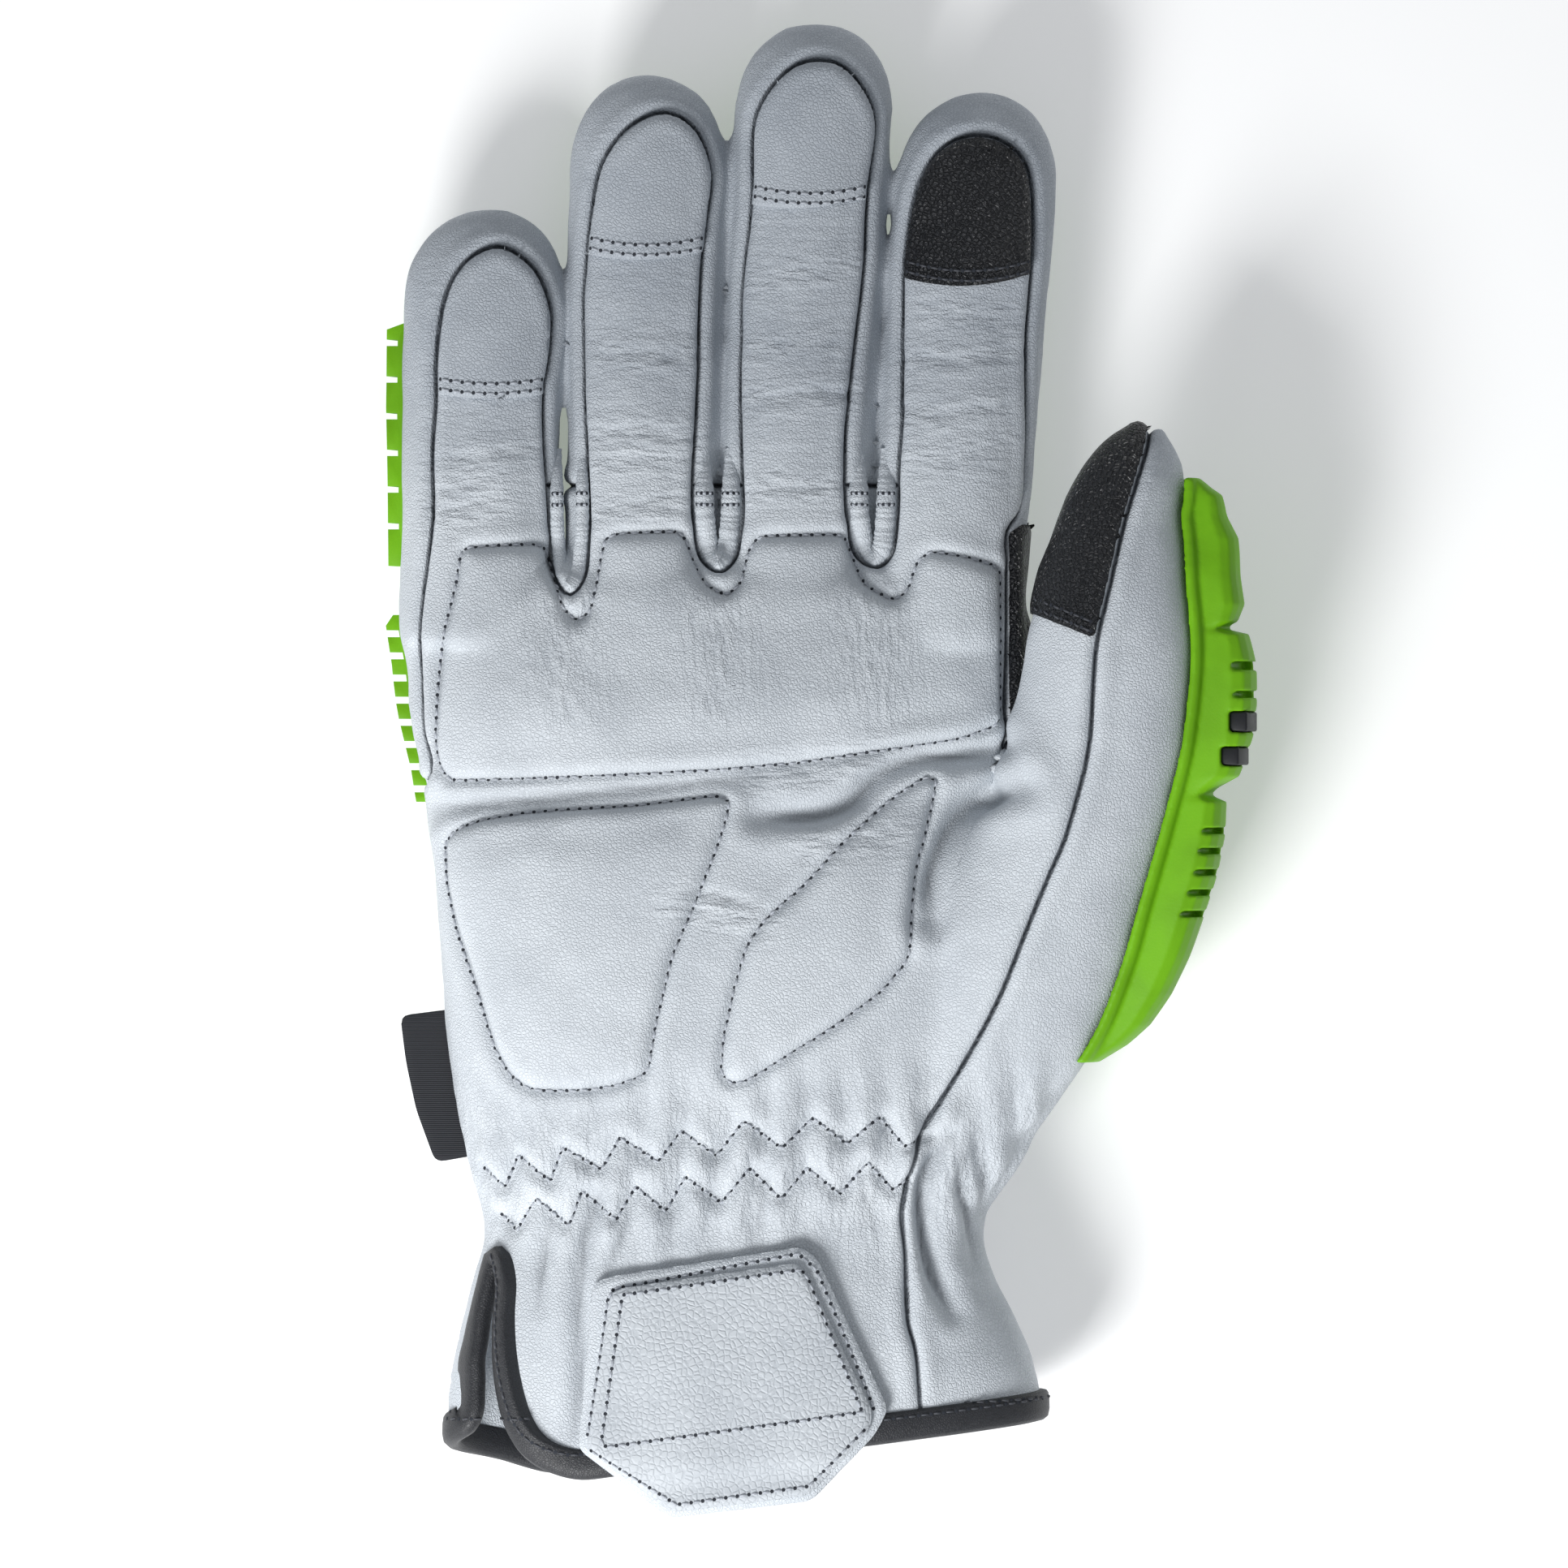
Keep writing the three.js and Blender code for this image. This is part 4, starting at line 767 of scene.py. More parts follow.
def relief(p, seam):
    """How far the leather stands out or in, with its pad, fold and wrinkle masks; the fold mask says where
    the material paints shade into folds.
    """
    s = sizes()
    front = ease(p[:, 2], 20, 26)
    corner = np.linalg.norm(p[:, :2] - THUMB_CORNER, axis=1)
    out = (-0.95 * bell(seam, 0.6) + 0.45 * bell(seam - 2.2, 1.3)) * (1 - 0.9 * bell(corner, 4.0))
    pad = pad_distance(p)
    out += front * (0.85 * s.pad * ease(pad, -0.6, 3.0) + 0.4 * ease(pad, 2, 10) - 0.75 * bell(pad, 0.7)
                    + 0.3 * bell(pad + 2.2, 1.2))
    fold = np.zeros(len(p))
    for points, depth, width in FOLDS:
        line = smooth_line(points, 1.0)
        d = line_distance(line, p)
        strength = 0.35 + 0.65 * ease(from_ends(line, p), 0, 8)
        out += front * depth * strength * (0.4 * bell(d - 2.4 * width, 1.5 * width) - bell(d, width))
        # Painted shade: the fold mask darkens the leather along each fold line.
        fold = np.maximum(fold, front * strength * bell(d, 0.55 * width))
    across = 0.35 * front * ease(p[:, 1], 42, 50)
    bent = p[:, :2].copy()
    bent[:, 1] += 1.1 * value_noise(p, 6, 11)
    for start, end, depth, width in CREASES:
        line = smooth_line((start, end), 1.0)
        d = line_distance(line, bent)
        strength = 0.2 + 0.8 * ease(from_ends(line, p), 0, 5)
        out += front * depth * strength * (0.35 * bell(d - 2.2 * width, 1.3 * width) - bell(d, width))
        across = np.maximum(across, front * bell(d, 4.0))
    rows = [straight_line(line, 1.0) for line in ELASTIC.values()]
    near = (p[:, 1] > -88) & (p[:, 1] < -52) & (p[:, 0] > -62) & (p[:, 0] < 27)
    for line in rows:
        d = line_distance(line, p)
        out += front * np.where(near, 0.35 * bell(d - 2.6, 1.8) - 0.9 * bell(d, 0.8), 0)
    mid = (rows[0][:, 1].mean() + rows[1][:, 1].mean()) / 2
    span = bell(p[:, 1] - mid - (p[:, 0] + 20) * 0.11, 13.0)
    ripple = np.sin(p[:, 0] * 0.86 + 1.8 * value_noise(p, 14, 3)) * (0.6 + 0.4 * value_noise(p, 9, 4))
    out += span * 1.15 * ripple * ease(p[:, 2], 22, 30)
    # Painted shade in the valleys of the wrist ripples.
    fold = np.maximum(fold, 0.55 * span * front * ease(-ripple, 0.45, 1.0))
    out += span * 0.8 * ripple * (1 - ease(p[:, 2], 10, 18))
    turned = np.sin(p[:, 2] * 0.95 + 2.0 * value_noise(p, 11, 5))
    out += bell(p[:, 1] - mid, 9.0) * 0.7 * turned * ease(np.abs(p[:, 0] + 14), 34, 42)
    out += 0.4 * value_noise(p, 16, 1) + 0.16 * value_noise(p, 6, 2) + 0.05 * value_noise(p, 2.6, 6)
    along = 0.8 * bell(p[:, 1] - mid, 17.0)
    for x in CROTCH_X:
        reach = bell(p[:, 0] - x, 8.0) * ease(p[:, 1], 4, 16) * (1 - ease(p[:, 1], 31, 37))
        along = np.maximum(along, front * reach)
    out *= 0.15 + 0.85 * ease(p[:, 9], 2.0, 9.0)
    return out, pad, fold, across, along


def add_value(obj, name, values):
    """Stores one number a point on the mesh."""
    attribute = obj.data.attributes.new(name, "FLOAT", "POINT")
    attribute.data.foreach_set("value", np.asarray(values, np.float32))


def wall(obj, thickness, offset=-1.0):
    """Gives a sheet its thickness."""
    apply_modifier(obj, "SOLIDIFY", thickness=thickness * MM, offset=offset, use_even_offset=False)


def finish_piece(obj, slot, material, *nodes):
    """Rides, replaces and material of one piece; the slot is not used."""
    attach(obj, "root")
    if nodes:
        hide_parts(*nodes)
    obj.data.materials.clear()
    obj.data.materials.append(material)
    return obj


def make_leather():
    """The panels of the glove, cut from one form and given their relief."""
    s = sizes()
    p, t = make_form()
    palm, side, gusset = panel_fields(p)
    table = np.concatenate([p, normals(p, t), palm[:, None], side[:, None], gusset[:, None],
                            cuff_field(p)[:, None]], 1)
    table, t, _ = keep_side(table, t, table[:, 9])
    seams = []
    pieces = {}
    pieces["palm"] = keep_side(table, t, table[:, 6])
    rest = keep_side(table, t, -table[:, 6])
    seams.append(rest[2])
    pieces["thumb"] = keep_side(*rest[:2], rest[0][:, 7])
    seams.append(pieces["thumb"][2])
    rest = keep_side(*rest[:2], -rest[0][:, 7])
    gussets = keep_side(*rest[:2], rest[0][:, 8])
    seams.append(gussets[2])
    pieces["back"] = keep_side(*rest[:2], -rest[0][:, 8])
    edges = (-29.8, -3.1)
    for k in range(3):
        q, f = gussets[:2]
        if k > 0:
            q, f, _ = keep_side(q, f, q[:, 0] - edges[k - 1])
        if k < 2:
            q, f, _ = keep_side(q, f, edges[k] - q[:, 0])
        pieces["gusset_%d" % (k + 1)] = (q, f, None)
    seam_points = np.concatenate(seams)[:, :3]
    leather = leather_material("grain_leather", colours().leather, colours().shade)
    WORK["leather"] = leather
    nodes = {"palm": ("palm_panel",), "thumb": ("thumb_panel",), "back": ("back_panel",),
             "gusset_1": ("gusset_little_ring",), "gusset_2": ("gusset_ring_middle",),
             "gusset_3": ("gusset_middle_index",)}
    WORK["sheets"] = {}
    for name, (q, f, _) in pieces.items():
        seam = nearest(seam_points, q)
        fine = seam < 2.4
        if name == "palm":
            fine |= np.abs(pad_distance(q)) < 2.0
        q, f = refine(q, f, fine)
        seam = nearest(seam_points, q)
        out, pad, fold, across, along = relief(q, seam)
        q[:, :3] += q[:, 3:6] / np.linalg.norm(q[:, 3:6], axis=1, keepdims=True) * out[:, None]
        WORK["sheets"][name] = (q, f, seam)
        obj = new_object("%s_leather" % name, q, f)
        for label, values in zip(MASKS, (seam, pad, fold, across, along)):
            add_value(obj, label, values)
        wall(obj, s.leather)
        finish_piece(obj, "leather", leather, *nodes[name])
    q, f, _ = WORK["sheets"]["palm"]
    WORK["front"] = BVHTree.FromPolygons(q[:, :3].tolist(), f.tolist())
    make_beads()


def plain_values(obj):
    """Values that keep the painted shade of seams, pad edges and folds off a piece."""
    count = len(obj.data.vertices)
    add_value(obj, "seam", np.full(count, 6.0))
    add_value(obj, "pad", np.full(count, -9.0))
    add_value(obj, "fold", np.zeros(count))


def outward(obj):
    """Turns every face outwards."""
    only(obj)
    bpy.ops.object.mode_set(mode="EDIT")
    bpy.ops.mesh.select_all(action="SELECT")
    bpy.ops.mesh.normals_make_consistent(inside=False)
    bpy.ops.object.mode_set(mode="OBJECT")


def make_beads():
    """The rolled welt round the foot of each gap between fingers, with its cross stitches."""
    q = WORK["sheets"]["palm"][0]
    top = q[q[:, 2] > 20]
    tree = KDTree(len(top))
    for i, point in enumerate(top):
        tree.insert((point[0], point[1], 0), i)
    tree.balance()
    lines = []
    for k, (points, radius) in enumerate(zip(CROTCH_SEAMS, BEADS)):
        seam = [(points[0][0] - 0.3, BEAD_TOP), *points, (points[-1][0] + 0.3, BEAD_TOP)]
        line = smooth_line(seam, 0.3)
        step = np.gradient(line, axis=0)
        step /= np.linalg.norm(step, axis=1, keepdims=True)
        side = np.stack([-step[:, 1], step[:, 0]], 1)
        outer = line - side * 1.4
        height = np.array([top[tree.find((x, y, 0))[1]][2] for x, y in outer])
        for _ in range(30):
            height[1:-1] = (height[:-2] + 2 * height[1:-1] + height[2:]) / 4
        inner = line + side * (radius + 0.1)
        length = np.concatenate([[0], np.cumsum(np.linalg.norm(np.diff(line, axis=0), axis=1))])
        fade = ease(np.minimum(length, length[-1] - length), 0, 9)
        path = np.concatenate([inner, (height - radius - 0.35 - 2.0 * (1 - fade))[:, None]], 1)
        rumple = 1 + 0.045 * np.sin(length * 4.6 + 2 * np.sin(length * 1.3)) - 0.35 * (1 - fade)
        size = (radius * rumple)[:, None]
        inward = np.concatenate([side, np.zeros((len(side), 1))], 1) * size
        up = np.tile((0.0, 0.0, 1.0), (len(side), 1)) * size
        turn = np.arange(16) / 16 * 2 * np.pi
        circle = np.stack([np.cos(turn), np.sin(turn)], 1)
        obj = sweep("gusset_bead_%d" % (k + 1), path, inward, up, circle, False)
        outward(obj)
        plain_values(obj)
        finish_piece(obj, "leather", WORK["leather"])
        points3, faces3 = arrays(obj)
        bead = BVHTree.FromPolygons(points3.tolist(), faces3.tolist())
        for y in (48.0, 50.0):
            for x, turn_to in ((seam[0][0] + 0.5, 1), (seam[-1][0] - 0.5, -1)):
                row = np.stack([x + turn_to * np.linspace(0, 2 * radius - 0.5, 8), np.full(8, y)], 1)
                lines.append((row, bead))
    for i, (row, bead) in enumerate(lines):
        sew("bead_stitches_%d" % (i + 1), [(row, False)], bead, 1.0)


def sheet_piece(name, source, field, offset, thickness, slot, material, *nodes):
    """A patch cut from a leather sheet and laid on it."""
    q, f, seam = WORK["sheets"][source]
    values = np.concatenate([q, seam[:, None]], 1)
    chosen = keep_side(values, f, field)
    q, f, edge = chosen
    n = normals(q, f)
    rim = nearest(edge, q)
    n = n / np.linalg.norm(n, axis=1, keepdims=True)
    q = q.copy()
    q[:, :3] += n * (offset + thickness - 0.35 * bell(rim, 0.7)[:, None])
    obj = new_object(name, q, f)
    plain_values(obj)
    wall(obj, thickness)
    return finish_piece(obj, slot, material, *nodes), (q, f)


def thumb_patch_edge(x):
    """The lower edge of the thumb's patch across its width."""
    low, rise, right, wide = THUMB_PATCH
    return low + rise * np.clip((right - x) / wide, 0, 1.2)


def make_patches():
    """Patches on the fingertips, the thumb and the thumb crotch."""
    s = sizes()
    leather = WORK["leather"]
    black = leather_material("touch_grain", colours().black, colours().black, glossy=True)
    q = WORK["sheets"]["palm"][0]
    for name, row in FINGERS.items():
        line = smooth_line(TIP_SEAMS[name], 0.8)
        ring = np.concatenate([line, [[line[-1][0], 30], [line[0][0], 30]]])
        low, ends = row[4] * s.length, row[5] * s.length
        x0, x1 = line[0][0], line[-1][0]
        share = np.clip((q[:, 0] - (x0 + x1) / 2) / ((x1 - x0) / 2), -1, 1)
        field = np.minimum(inside_distance(ring, q) - 0.95, q[:, 1] - low - (ends - low) * share**2)
        slot, mat = ("touch_leather", black) if name == "index" else ("leather", leather)
        _, sheet = sheet_piece("%s_tip_leather" % name, "palm", field, 0.1, s.patch, slot, mat,
                               "tip_patch_%s" % name)
        WORK["patch_" + name] = BVHTree.FromPolygons(sheet[0][:, :3].tolist(), sheet[1].tolist())
    line = smooth_line([p for p in LONG_SEAM if p[1] > 20], 0.8)
    ring = np.concatenate([line, [[40.0, 20.0], [30, 20], [30, 80], [59.5, 80]]])
    above = q[:, 1] - thumb_patch_edge(q[:, 0])
    field = np.minimum(np.minimum(inside_distance(ring, q) - 0.85, above), q[:, 2] - 25)
    field = np.where(q[:, 0] > 30 + 0.1 * q[:, 1], field, -9)
    on_thumb = level(WORK["tubes"][-1][0], POWER["thumb"], q) < 2.0
    field = np.where(on_thumb, field, -9)
    _, sheet = sheet_piece("thumb_tip_leather", "palm", field, 0.1, s.patch, "touch_leather", black,
                           "tip_patch_thumb")
    WORK["patch_thumb"] = BVHTree.FromPolygons(sheet[0][:, :3].tolist(), sheet[1].tolist())
    q = WORK["sheets"]["back"][0]
    field = np.minimum(inside_distance(np.array(CROTCH_PATCH), q), np.minimum(q[:, 2] - 13.2, 34 - q[:, 2]))
    sheet_piece("crotch_strip_leather", "back", field, 0.1, s.patch, "touch_leather", black, "crotch_patch")


def plan_sheet(name, outline, height, thickness, rounding=0.6, grid=0.8):
    """A sheet over the hand's front, cut to an outline, with rounded edges."""
    line = smooth_corners(outline)
    lo, hi = line.min(0) - 2, line.max(0) + 2
    xs, ys = np.arange(lo[0], hi[0], grid), np.arange(lo[1], hi[1], grid)
    gx, gy = np.meshgrid(xs, ys)
    p = np.stack([gx.ravel(), gy.ravel(), np.zeros(gx.size)], 1)
    n, m = len(xs), len(ys)
    i = (np.arange(m - 1)[:, None] * n + np.arange(n - 1)[None, :]).ravel()
    t = np.concatenate([np.stack([i, i + 1, i + n + 1], 1), np.stack([i, i + n + 1, i + n], 1)])
    field = inside_distance(line, p)
    q, f, _ = keep_side(np.concatenate([p, field[:, None]], 1), t, field)
    rim = q[:, 3]
    q, f = refine(q, f, rim < 1.6)
    rim = q[:, 3]
    q[:, 2] = height(q) - rounding * bell(rim, 0.55)
    obj = new_object(name, q, f)
    plain_values(obj)
    wall(obj, thickness)
    return obj, (q, f)


def smooth_corners(outline, radius=1.6):
    """An outline with its corners rounded."""
    p = np.array(outline, float)
    made = []
    for k in range(len(p)):
        a, b, c = p[k - 1], p[k], p[(k + 1) % len(p)]
        u, v = a - b, c - b
        lu, lv = np.linalg.norm(u), np.linalg.norm(v)
        r = min(radius, 0.42 * lu, 0.42 * lv)
        start, end = b + u / lu * r, b + v / lv * r
        for t in (0, 0.25, 0.5, 0.75, 1):
            made.append((1 - t) ** 2 * start + 2 * t * (1 - t) * b + t**2 * end)
    return np.array(made)


def make_tab():
    """The pull tab in two layers."""
    s = sizes()
    # The top layer is a coarser leather at 0.84 of the leather colour: partly its own darker tone, partly
    # painted shade where it faces the key light.
    coarse = leather_material("tab_grain", [c * 0.84 for c in colours().leather], colours().shade, size=1.1)
    low = 1.3

    def height(lift):
        def at(q):
            z = hand_front(q[:, 0], np.maximum(q[:, 1], -118.0), lift)
            fold = bell(q[:, 1] + 121.0 - 0.1 * q[:, 0], 2.2)
            return z - 0.6 * fold + 0.25 * value_noise(q, 11, 7) - 0.12 * np.maximum(0, -118 - q[:, 1])
        return at
    base, under = plan_sheet("tab_base_leather", TAB, height(low + s.tab), s.tab)
    finish_piece(base, "leather", WORK["leather"], "tab_base")
    top, sheet = plan_sheet("tab_patch_leather", TAB_PATCH, height(low + 2 * s.tab + 0.3), s.tab)
    finish_piece(top, "tab_leather", coarse, "tab_patch")
    both = np.concatenate([sheet[0][:, :3], under[0][:, :3]])
    faces = np.concatenate([sheet[1], under[1] + len(sheet[0])])
    WORK["tab"] = BVHTree.FromPolygons(both.tolist(), faces.tolist())


def make_label():
    """The woven label at the outer seam, without lettering."""
    mid = 0.489 * sizes().depth + 0.8
    obj, _ = plan_sheet("woven_label", LABEL, lambda q: np.full(len(q), mid), 0.8, 0.25, 0.9)
    finish_piece(obj, "woven_label", fabric_material(), "side_label")


def sweep(name, path, inward, up, profile, closed):
    """A profile swept along a path, given the two directions across it."""
    n, m = len(path), len(profile)
    rings = (path[:, None, :] + inward[:, None, :] * profile[None, :, 0, None]
             + up[:, None, :] * profile[None, :, 1, None])
    faces = []
    for i in range(n if closed else n - 1):
        j = (i + 1) % n
        for k in range(m):
            l = (k + 1) % m
            faces.append((i * m + k, i * m + l, j * m + l, j * m + k))
    if not closed:
        faces += [tuple(range(m))[::-1], tuple((n - 1) * m + k for k in range(m))]
    return new_object(name, rings.reshape(-1, 3), faces)


def hand_point(y, angle, out=0.0):
    """A point of the hand tube by length and angle."""
    st = WORK["hand"]
    row = np.stack([np.interp(y, st[:, 0], st[:, k]) for k in range(5)], -1)
    row[..., 0] = y
    return on_tube(row, POWER["hand"], angle, out)


def angle_at(x, y):
    """The angle on the palm side of the hand tube for plan points."""
    st = WORK["hand"]
    x0, w = np.interp(y, st[:, 0], st[:, 1]), np.interp(y, st[:, 0], st[:, 3])
    c = np.clip((x - x0) / w, -1, 1)
    return np.arccos(np.sign(c) * np.abs(c) ** (POWER["hand"] / 2))


def make_binding():
    """Black tape folded over the hem and the slit, in one loop."""
    back = np.array(SLIT_BACK[:-1])
    rows = cuff_rows() + list(zip(back[:, 1], angle_at(back[:, 0], back[:, 1])))
    loop = smooth_line([(y, 40 * math.cos(k), 40 * math.sin(k)) for y, k in rows], 1.2, True)
    y, k = loop[:, 0], np.arctan2(loop[:, 2], loop[:, 1])
    p = hand_point(y, k)
    up = hand_point(y, k, 1.0) - p
    up /= np.linalg.norm(up, axis=1, keepdims=True)
    p, up = relax_path(p, 3), relax_path(up, 8)
    along = np.roll(p, -1, 0) - np.roll(p, 1, 0)
    along /= np.linalg.norm(along, axis=1, keepdims=True)
    inward = np.cross(up, along)
    inward /= np.linalg.norm(inward, axis=1, keepdims=True)
    wide = 0.74 + 0.26 * ease(-p[:, 1], 90, 115)
    wide += 0.32 * ease(-p[:, 0], 57.5, 59.5) * ease(-p[:, 1], 88, 100) * (1 - ease(-p[:, 1], 109, 113))
    rumple = 0.12 * value_noise(p, 3.5, 21)[:, None]
    p = p + up * rumple
    obj = sweep("cuff_binding_tape", p, inward * wide[:, None], up, np.array(BINDING_SECTION), True)
    outward(obj)
    WORK["binding"] = (p, inward * wide[:, None], up)
    finish_piece(obj, "binding", tape_material(), "cuff_binding")


def relax_path(p, rounds):
    """Evens out a closed path."""
    q = p.copy()
    for _ in range(rounds):
        q = (np.roll(q, 1, 0) + 2 * q + np.roll(q, -1, 0)) / 4
    return q


def make_guards():
    """The soft plastic guards."""
    rubber = rubber_material("guard_rubber", colours().guard)
    inlay = rubber_material("inlay_rubber", colours().black)
    thumb_guard(rubber)
    for k, cube in enumerate(WORK["inlays"]):
        apply_modifier(cube, "BEVEL", width=0.35 * MM, segments=2)
        cube.data.shade_smooth()
        finish_piece(cube, "guard_inlay", inlay, "thumb_guard_inlay_%d" % (k + 1))
    for name in ("back_guard", *("finger_guard_%s" % f for f in FINGERS)):
        copy = bpy.data.objects.new(name + "_moulded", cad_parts[name].data.copy())
        bpy.context.scene.collection.objects.link(copy)
        apply_modifier(copy, "WELD", merge_threshold=0.00001)
        apply_modifier(copy, "BEVEL", width=0.35 * MM, segments=2, limit_method="ANGLE",
                       angle_limit=math.radians(30))
        only(copy)
        bpy.ops.object.shade_smooth_by_angle(angle=math.radians(35))
        finish_piece(copy, "guard", rubber, name)


def thumb_guard(rubber):
    """The guard along the outer side of the thumb, faceted and slotted."""
    s = sizes()
    st = WORK["tubes"][-1][0]
    table = np.array(sorted(THUMB_GUARD))
    at = np.unique(np.concatenate([np.linspace(table[0, 0], table[-1, 0], 120), table[:, 0]]))
    out = np.interp(at, table[:, 0], table[:, 1]) * s.guard
    y = at * s.length
    row = np.stack([y] + [np.interp(y, st[:, 0], st[:, k]) for k in (1, 2, 3, 4)], 1)
    flange = np.minimum(1.7, out)
    section = [(a * GUARD_FRONT, b, c) for a, b, c in GUARD_SECTION]
    section += [(-a, b, c) for a, b, c in GUARD_SECTION[-2::-1]]
    rings = [(math.radians(a), flange * b + (out - flange * b) * c + 0.9) for a, b, c in section]
    rings += [(math.radians(a), np.full(len(y), 0.9)) for a in np.linspace(-48, 48 * GUARD_FRONT, 9)]
    points = np.stack([np.stack([row[:, 1] + (row[:, 3] + off) * math.cos(a), y,
                                 row[:, 2] + (row[:, 4] + off) * math.sin(a)], 1) for a, off in rings], 1)
    n = len(rings)
    faces = [(i * n + k, i * n + (k + 1) % n, (i + 1) * n + (k + 1) % n, (i + 1) * n + k)
             for i in range(len(y) - 1) for k in range(n)]
    faces += [tuple(range(n)), tuple((len(y) - 1) * n + k for k in range(n))]
    obj = new_object("thumb_guard_moulded", points.reshape(-1, 3), faces)
    outward(obj)
    bpy.ops.object.select_all(action="DESELECT")
    cutters = []
    WORK["inlays"] = []
    for share_at, deep, wide, arc, degrees in GUARD_SLOTS:
        a, yy = math.radians(degrees), share_at * s.length
        x, z, w, h, o = (np.interp(yy, y, v) for v in (row[:, 1], row[:, 2], row[:, 3], row[:, 4], out))
        place = ((x + (w + 0.9 + o) * math.cos(a)) * MM, yy * MM, (z + (h + 0.9 + o) * math.sin(a)) * MM)
        bpy.ops.mesh.primitive_cube_add(size=1, location=place, rotation=(0, -a, 0))
        bpy.context.object.scale = (2 * deep * MM, wide * MM, arc * MM)
        cutters.append(bpy.context.object)
        if wide > 3:
            bpy.ops.mesh.primitive_cube_add(size=1, location=place, rotation=(0, -a, 0))
            cube = bpy.context.object
            length, height, sunk, lowered = INLAY
            cube.scale = (length * MM, (wide - 0.3) * MM, height * MM)
            cube.location -= Vector((math.cos(a), 0, math.sin(a))) * sunk * MM
            cube.location -= Vector((-math.sin(a), 0, math.cos(a))) * lowered * MM
            only(cube)
            bpy.ops.object.transform_apply(location=True, rotation=True, scale=True)
            cube.name = "guard_inlay_%d" % (len(WORK["inlays"]) + 1)
            WORK["inlays"].append(cube)
    bpy.ops.object.select_all(action="DESELECT")
    for cutter in cutters:
        cutter.select_set(True)
    bpy.context.view_layer.objects.active = cutters[0]
    bpy.ops.object.join()
    cutter = cutters[0]
    apply_modifier(obj, "BOOLEAN", operation="DIFFERENCE", object=cutter)
    bpy.data.objects.remove(cutter)
    apply_modifier(obj, "REMESH", mode="VOXEL", voxel_size=0.00036)
    apply_modifier(obj, "SMOOTH", factor=0.5, iterations=1)
    obj.data.shade_smooth()
    finish_piece(obj, "guard", rubber, "thumb_guard")


# Stitches

def drop(tree, x, y):
    """The highest point of a surface over a plan point, and its normal."""
    hit = tree.ray_cast(Vector((x, y, 90)), Vector((0, 0, -1)))
    return hit[0], hit[1]


def stitch_shape(radius, length):
    """One stitch as a short rounded rod that dips at its ends, along x."""
    rings, around = [], 6
    for u, r, z in ((-0.5, 0.35, -0.75), (-0.38, 0.85, -0.1), (0, 1.0, 0.45), (0.38, 0.85, -0.1),
                    (0.5, 0.35, -0.75)):
        for k in range(around):
            a = 2 * math.pi * k / around
            rings.append((u * length, radius * r * math.cos(a), radius * (z + r * math.sin(a))))
    n = around
    faces = [(i * n + k, (i + 1) * n + k, (i + 1) * n + (k + 1) % n, i * n + (k + 1) % n)
             for i in range(4) for k in range(n)]
    faces += [tuple(range(n)), tuple(4 * n + k for k in range(n))[::-1]]
    return np.array(rings), faces


def sew(name, lines, tree, pitch=None, slot="leather", dark=False):
    """Stitches along plan lines, laid on a surface, with the needle holes between them as small dark discs of
    painted shade.
    """
    s = sizes()
    pitch = pitch or s.pitch
    shape, shape_faces = stitch_shape(s.thread, pitch * 0.68)
    # Each needle hole is a small dark disc: painted shade where the thread dives into the leather.
    ring = [(0.36 * math.cos(a), 0.36 * math.sin(a), 0.03) for a in np.arange(6) / 6 * 2 * math.pi]
    hole, hole_faces = np.array([(0, 0, 0.11), *ring]), [(0, k + 1, (k + 1) % 6 + 1) for k in range(6)]
    made = {False: ([], []), True: ([], [])}
    for line, closed in lines:
        dense = smooth_line(line, 0.3, closed) if len(line) < 60 else line
        if closed:
            dense = np.concatenate([dense, dense[:1]])
        length = np.concatenate([[0], np.cumsum(np.linalg.norm(np.diff(dense, axis=0), axis=1))])
        count = max(1, int(round(length[-1] / pitch)))
        for step in range(2 * count + (0 if closed else 1)):
            at = step / 2 * length[-1] / count
            a, b = (np.array([np.interp(at + d, length, dense[:, k]) for k in (0, 1)]) for d in (-0.3, 0.3))
            hit, up = drop(tree, *(a + b) / 2)
            if hit is None or up.z < 0.12 or np.linalg.norm(b - a) < 0.01:
                continue
            ahead = Vector((b[0] - a[0], b[1] - a[1], 0))
            ahead = (ahead - up * ahead.dot(up)).normalized()
            basis = np.array([ahead, up.cross(ahead), up])
            is_hole = step % 2 == 0
            points, faces = made[is_hole]
            one, one_faces = (hole, hole_faces) if is_hole else (shape, shape_faces)
            shift = len(points) * len(one)
            faces += [tuple(i + shift for i in face) for face in one_faces]
            points.append(one @ basis + np.array(hit))
    if dark:
        thread = thread_material("dark_thread", [c * 4.0 for c in colours().black])
    else:
        thread = thread_material("thread", colours().thread)
    for is_hole, end, material in ((False, "", thread), (True, "_holes", None)):
        points, faces = made[is_hole]
        if points:
            obj = new_object(name + end, np.concatenate(points), faces)
            finish_piece(obj, slot, material or hole_material())


def outline_inside(outline, inset):
    """A closed smooth line moved inwards."""
    line = pad_line(outline)
    step = np.roll(line, -1, 0) - np.roll(line, 1, 0)
    step /= np.linalg.norm(step, axis=1, keepdims=True)
    side = np.stack([step[:, 1], -step[:, 0]], 1)
    probe = inside_distance(line, line + side * 0.3)
    if np.median(probe) < 0:
        side = -side
    return line + side * inset


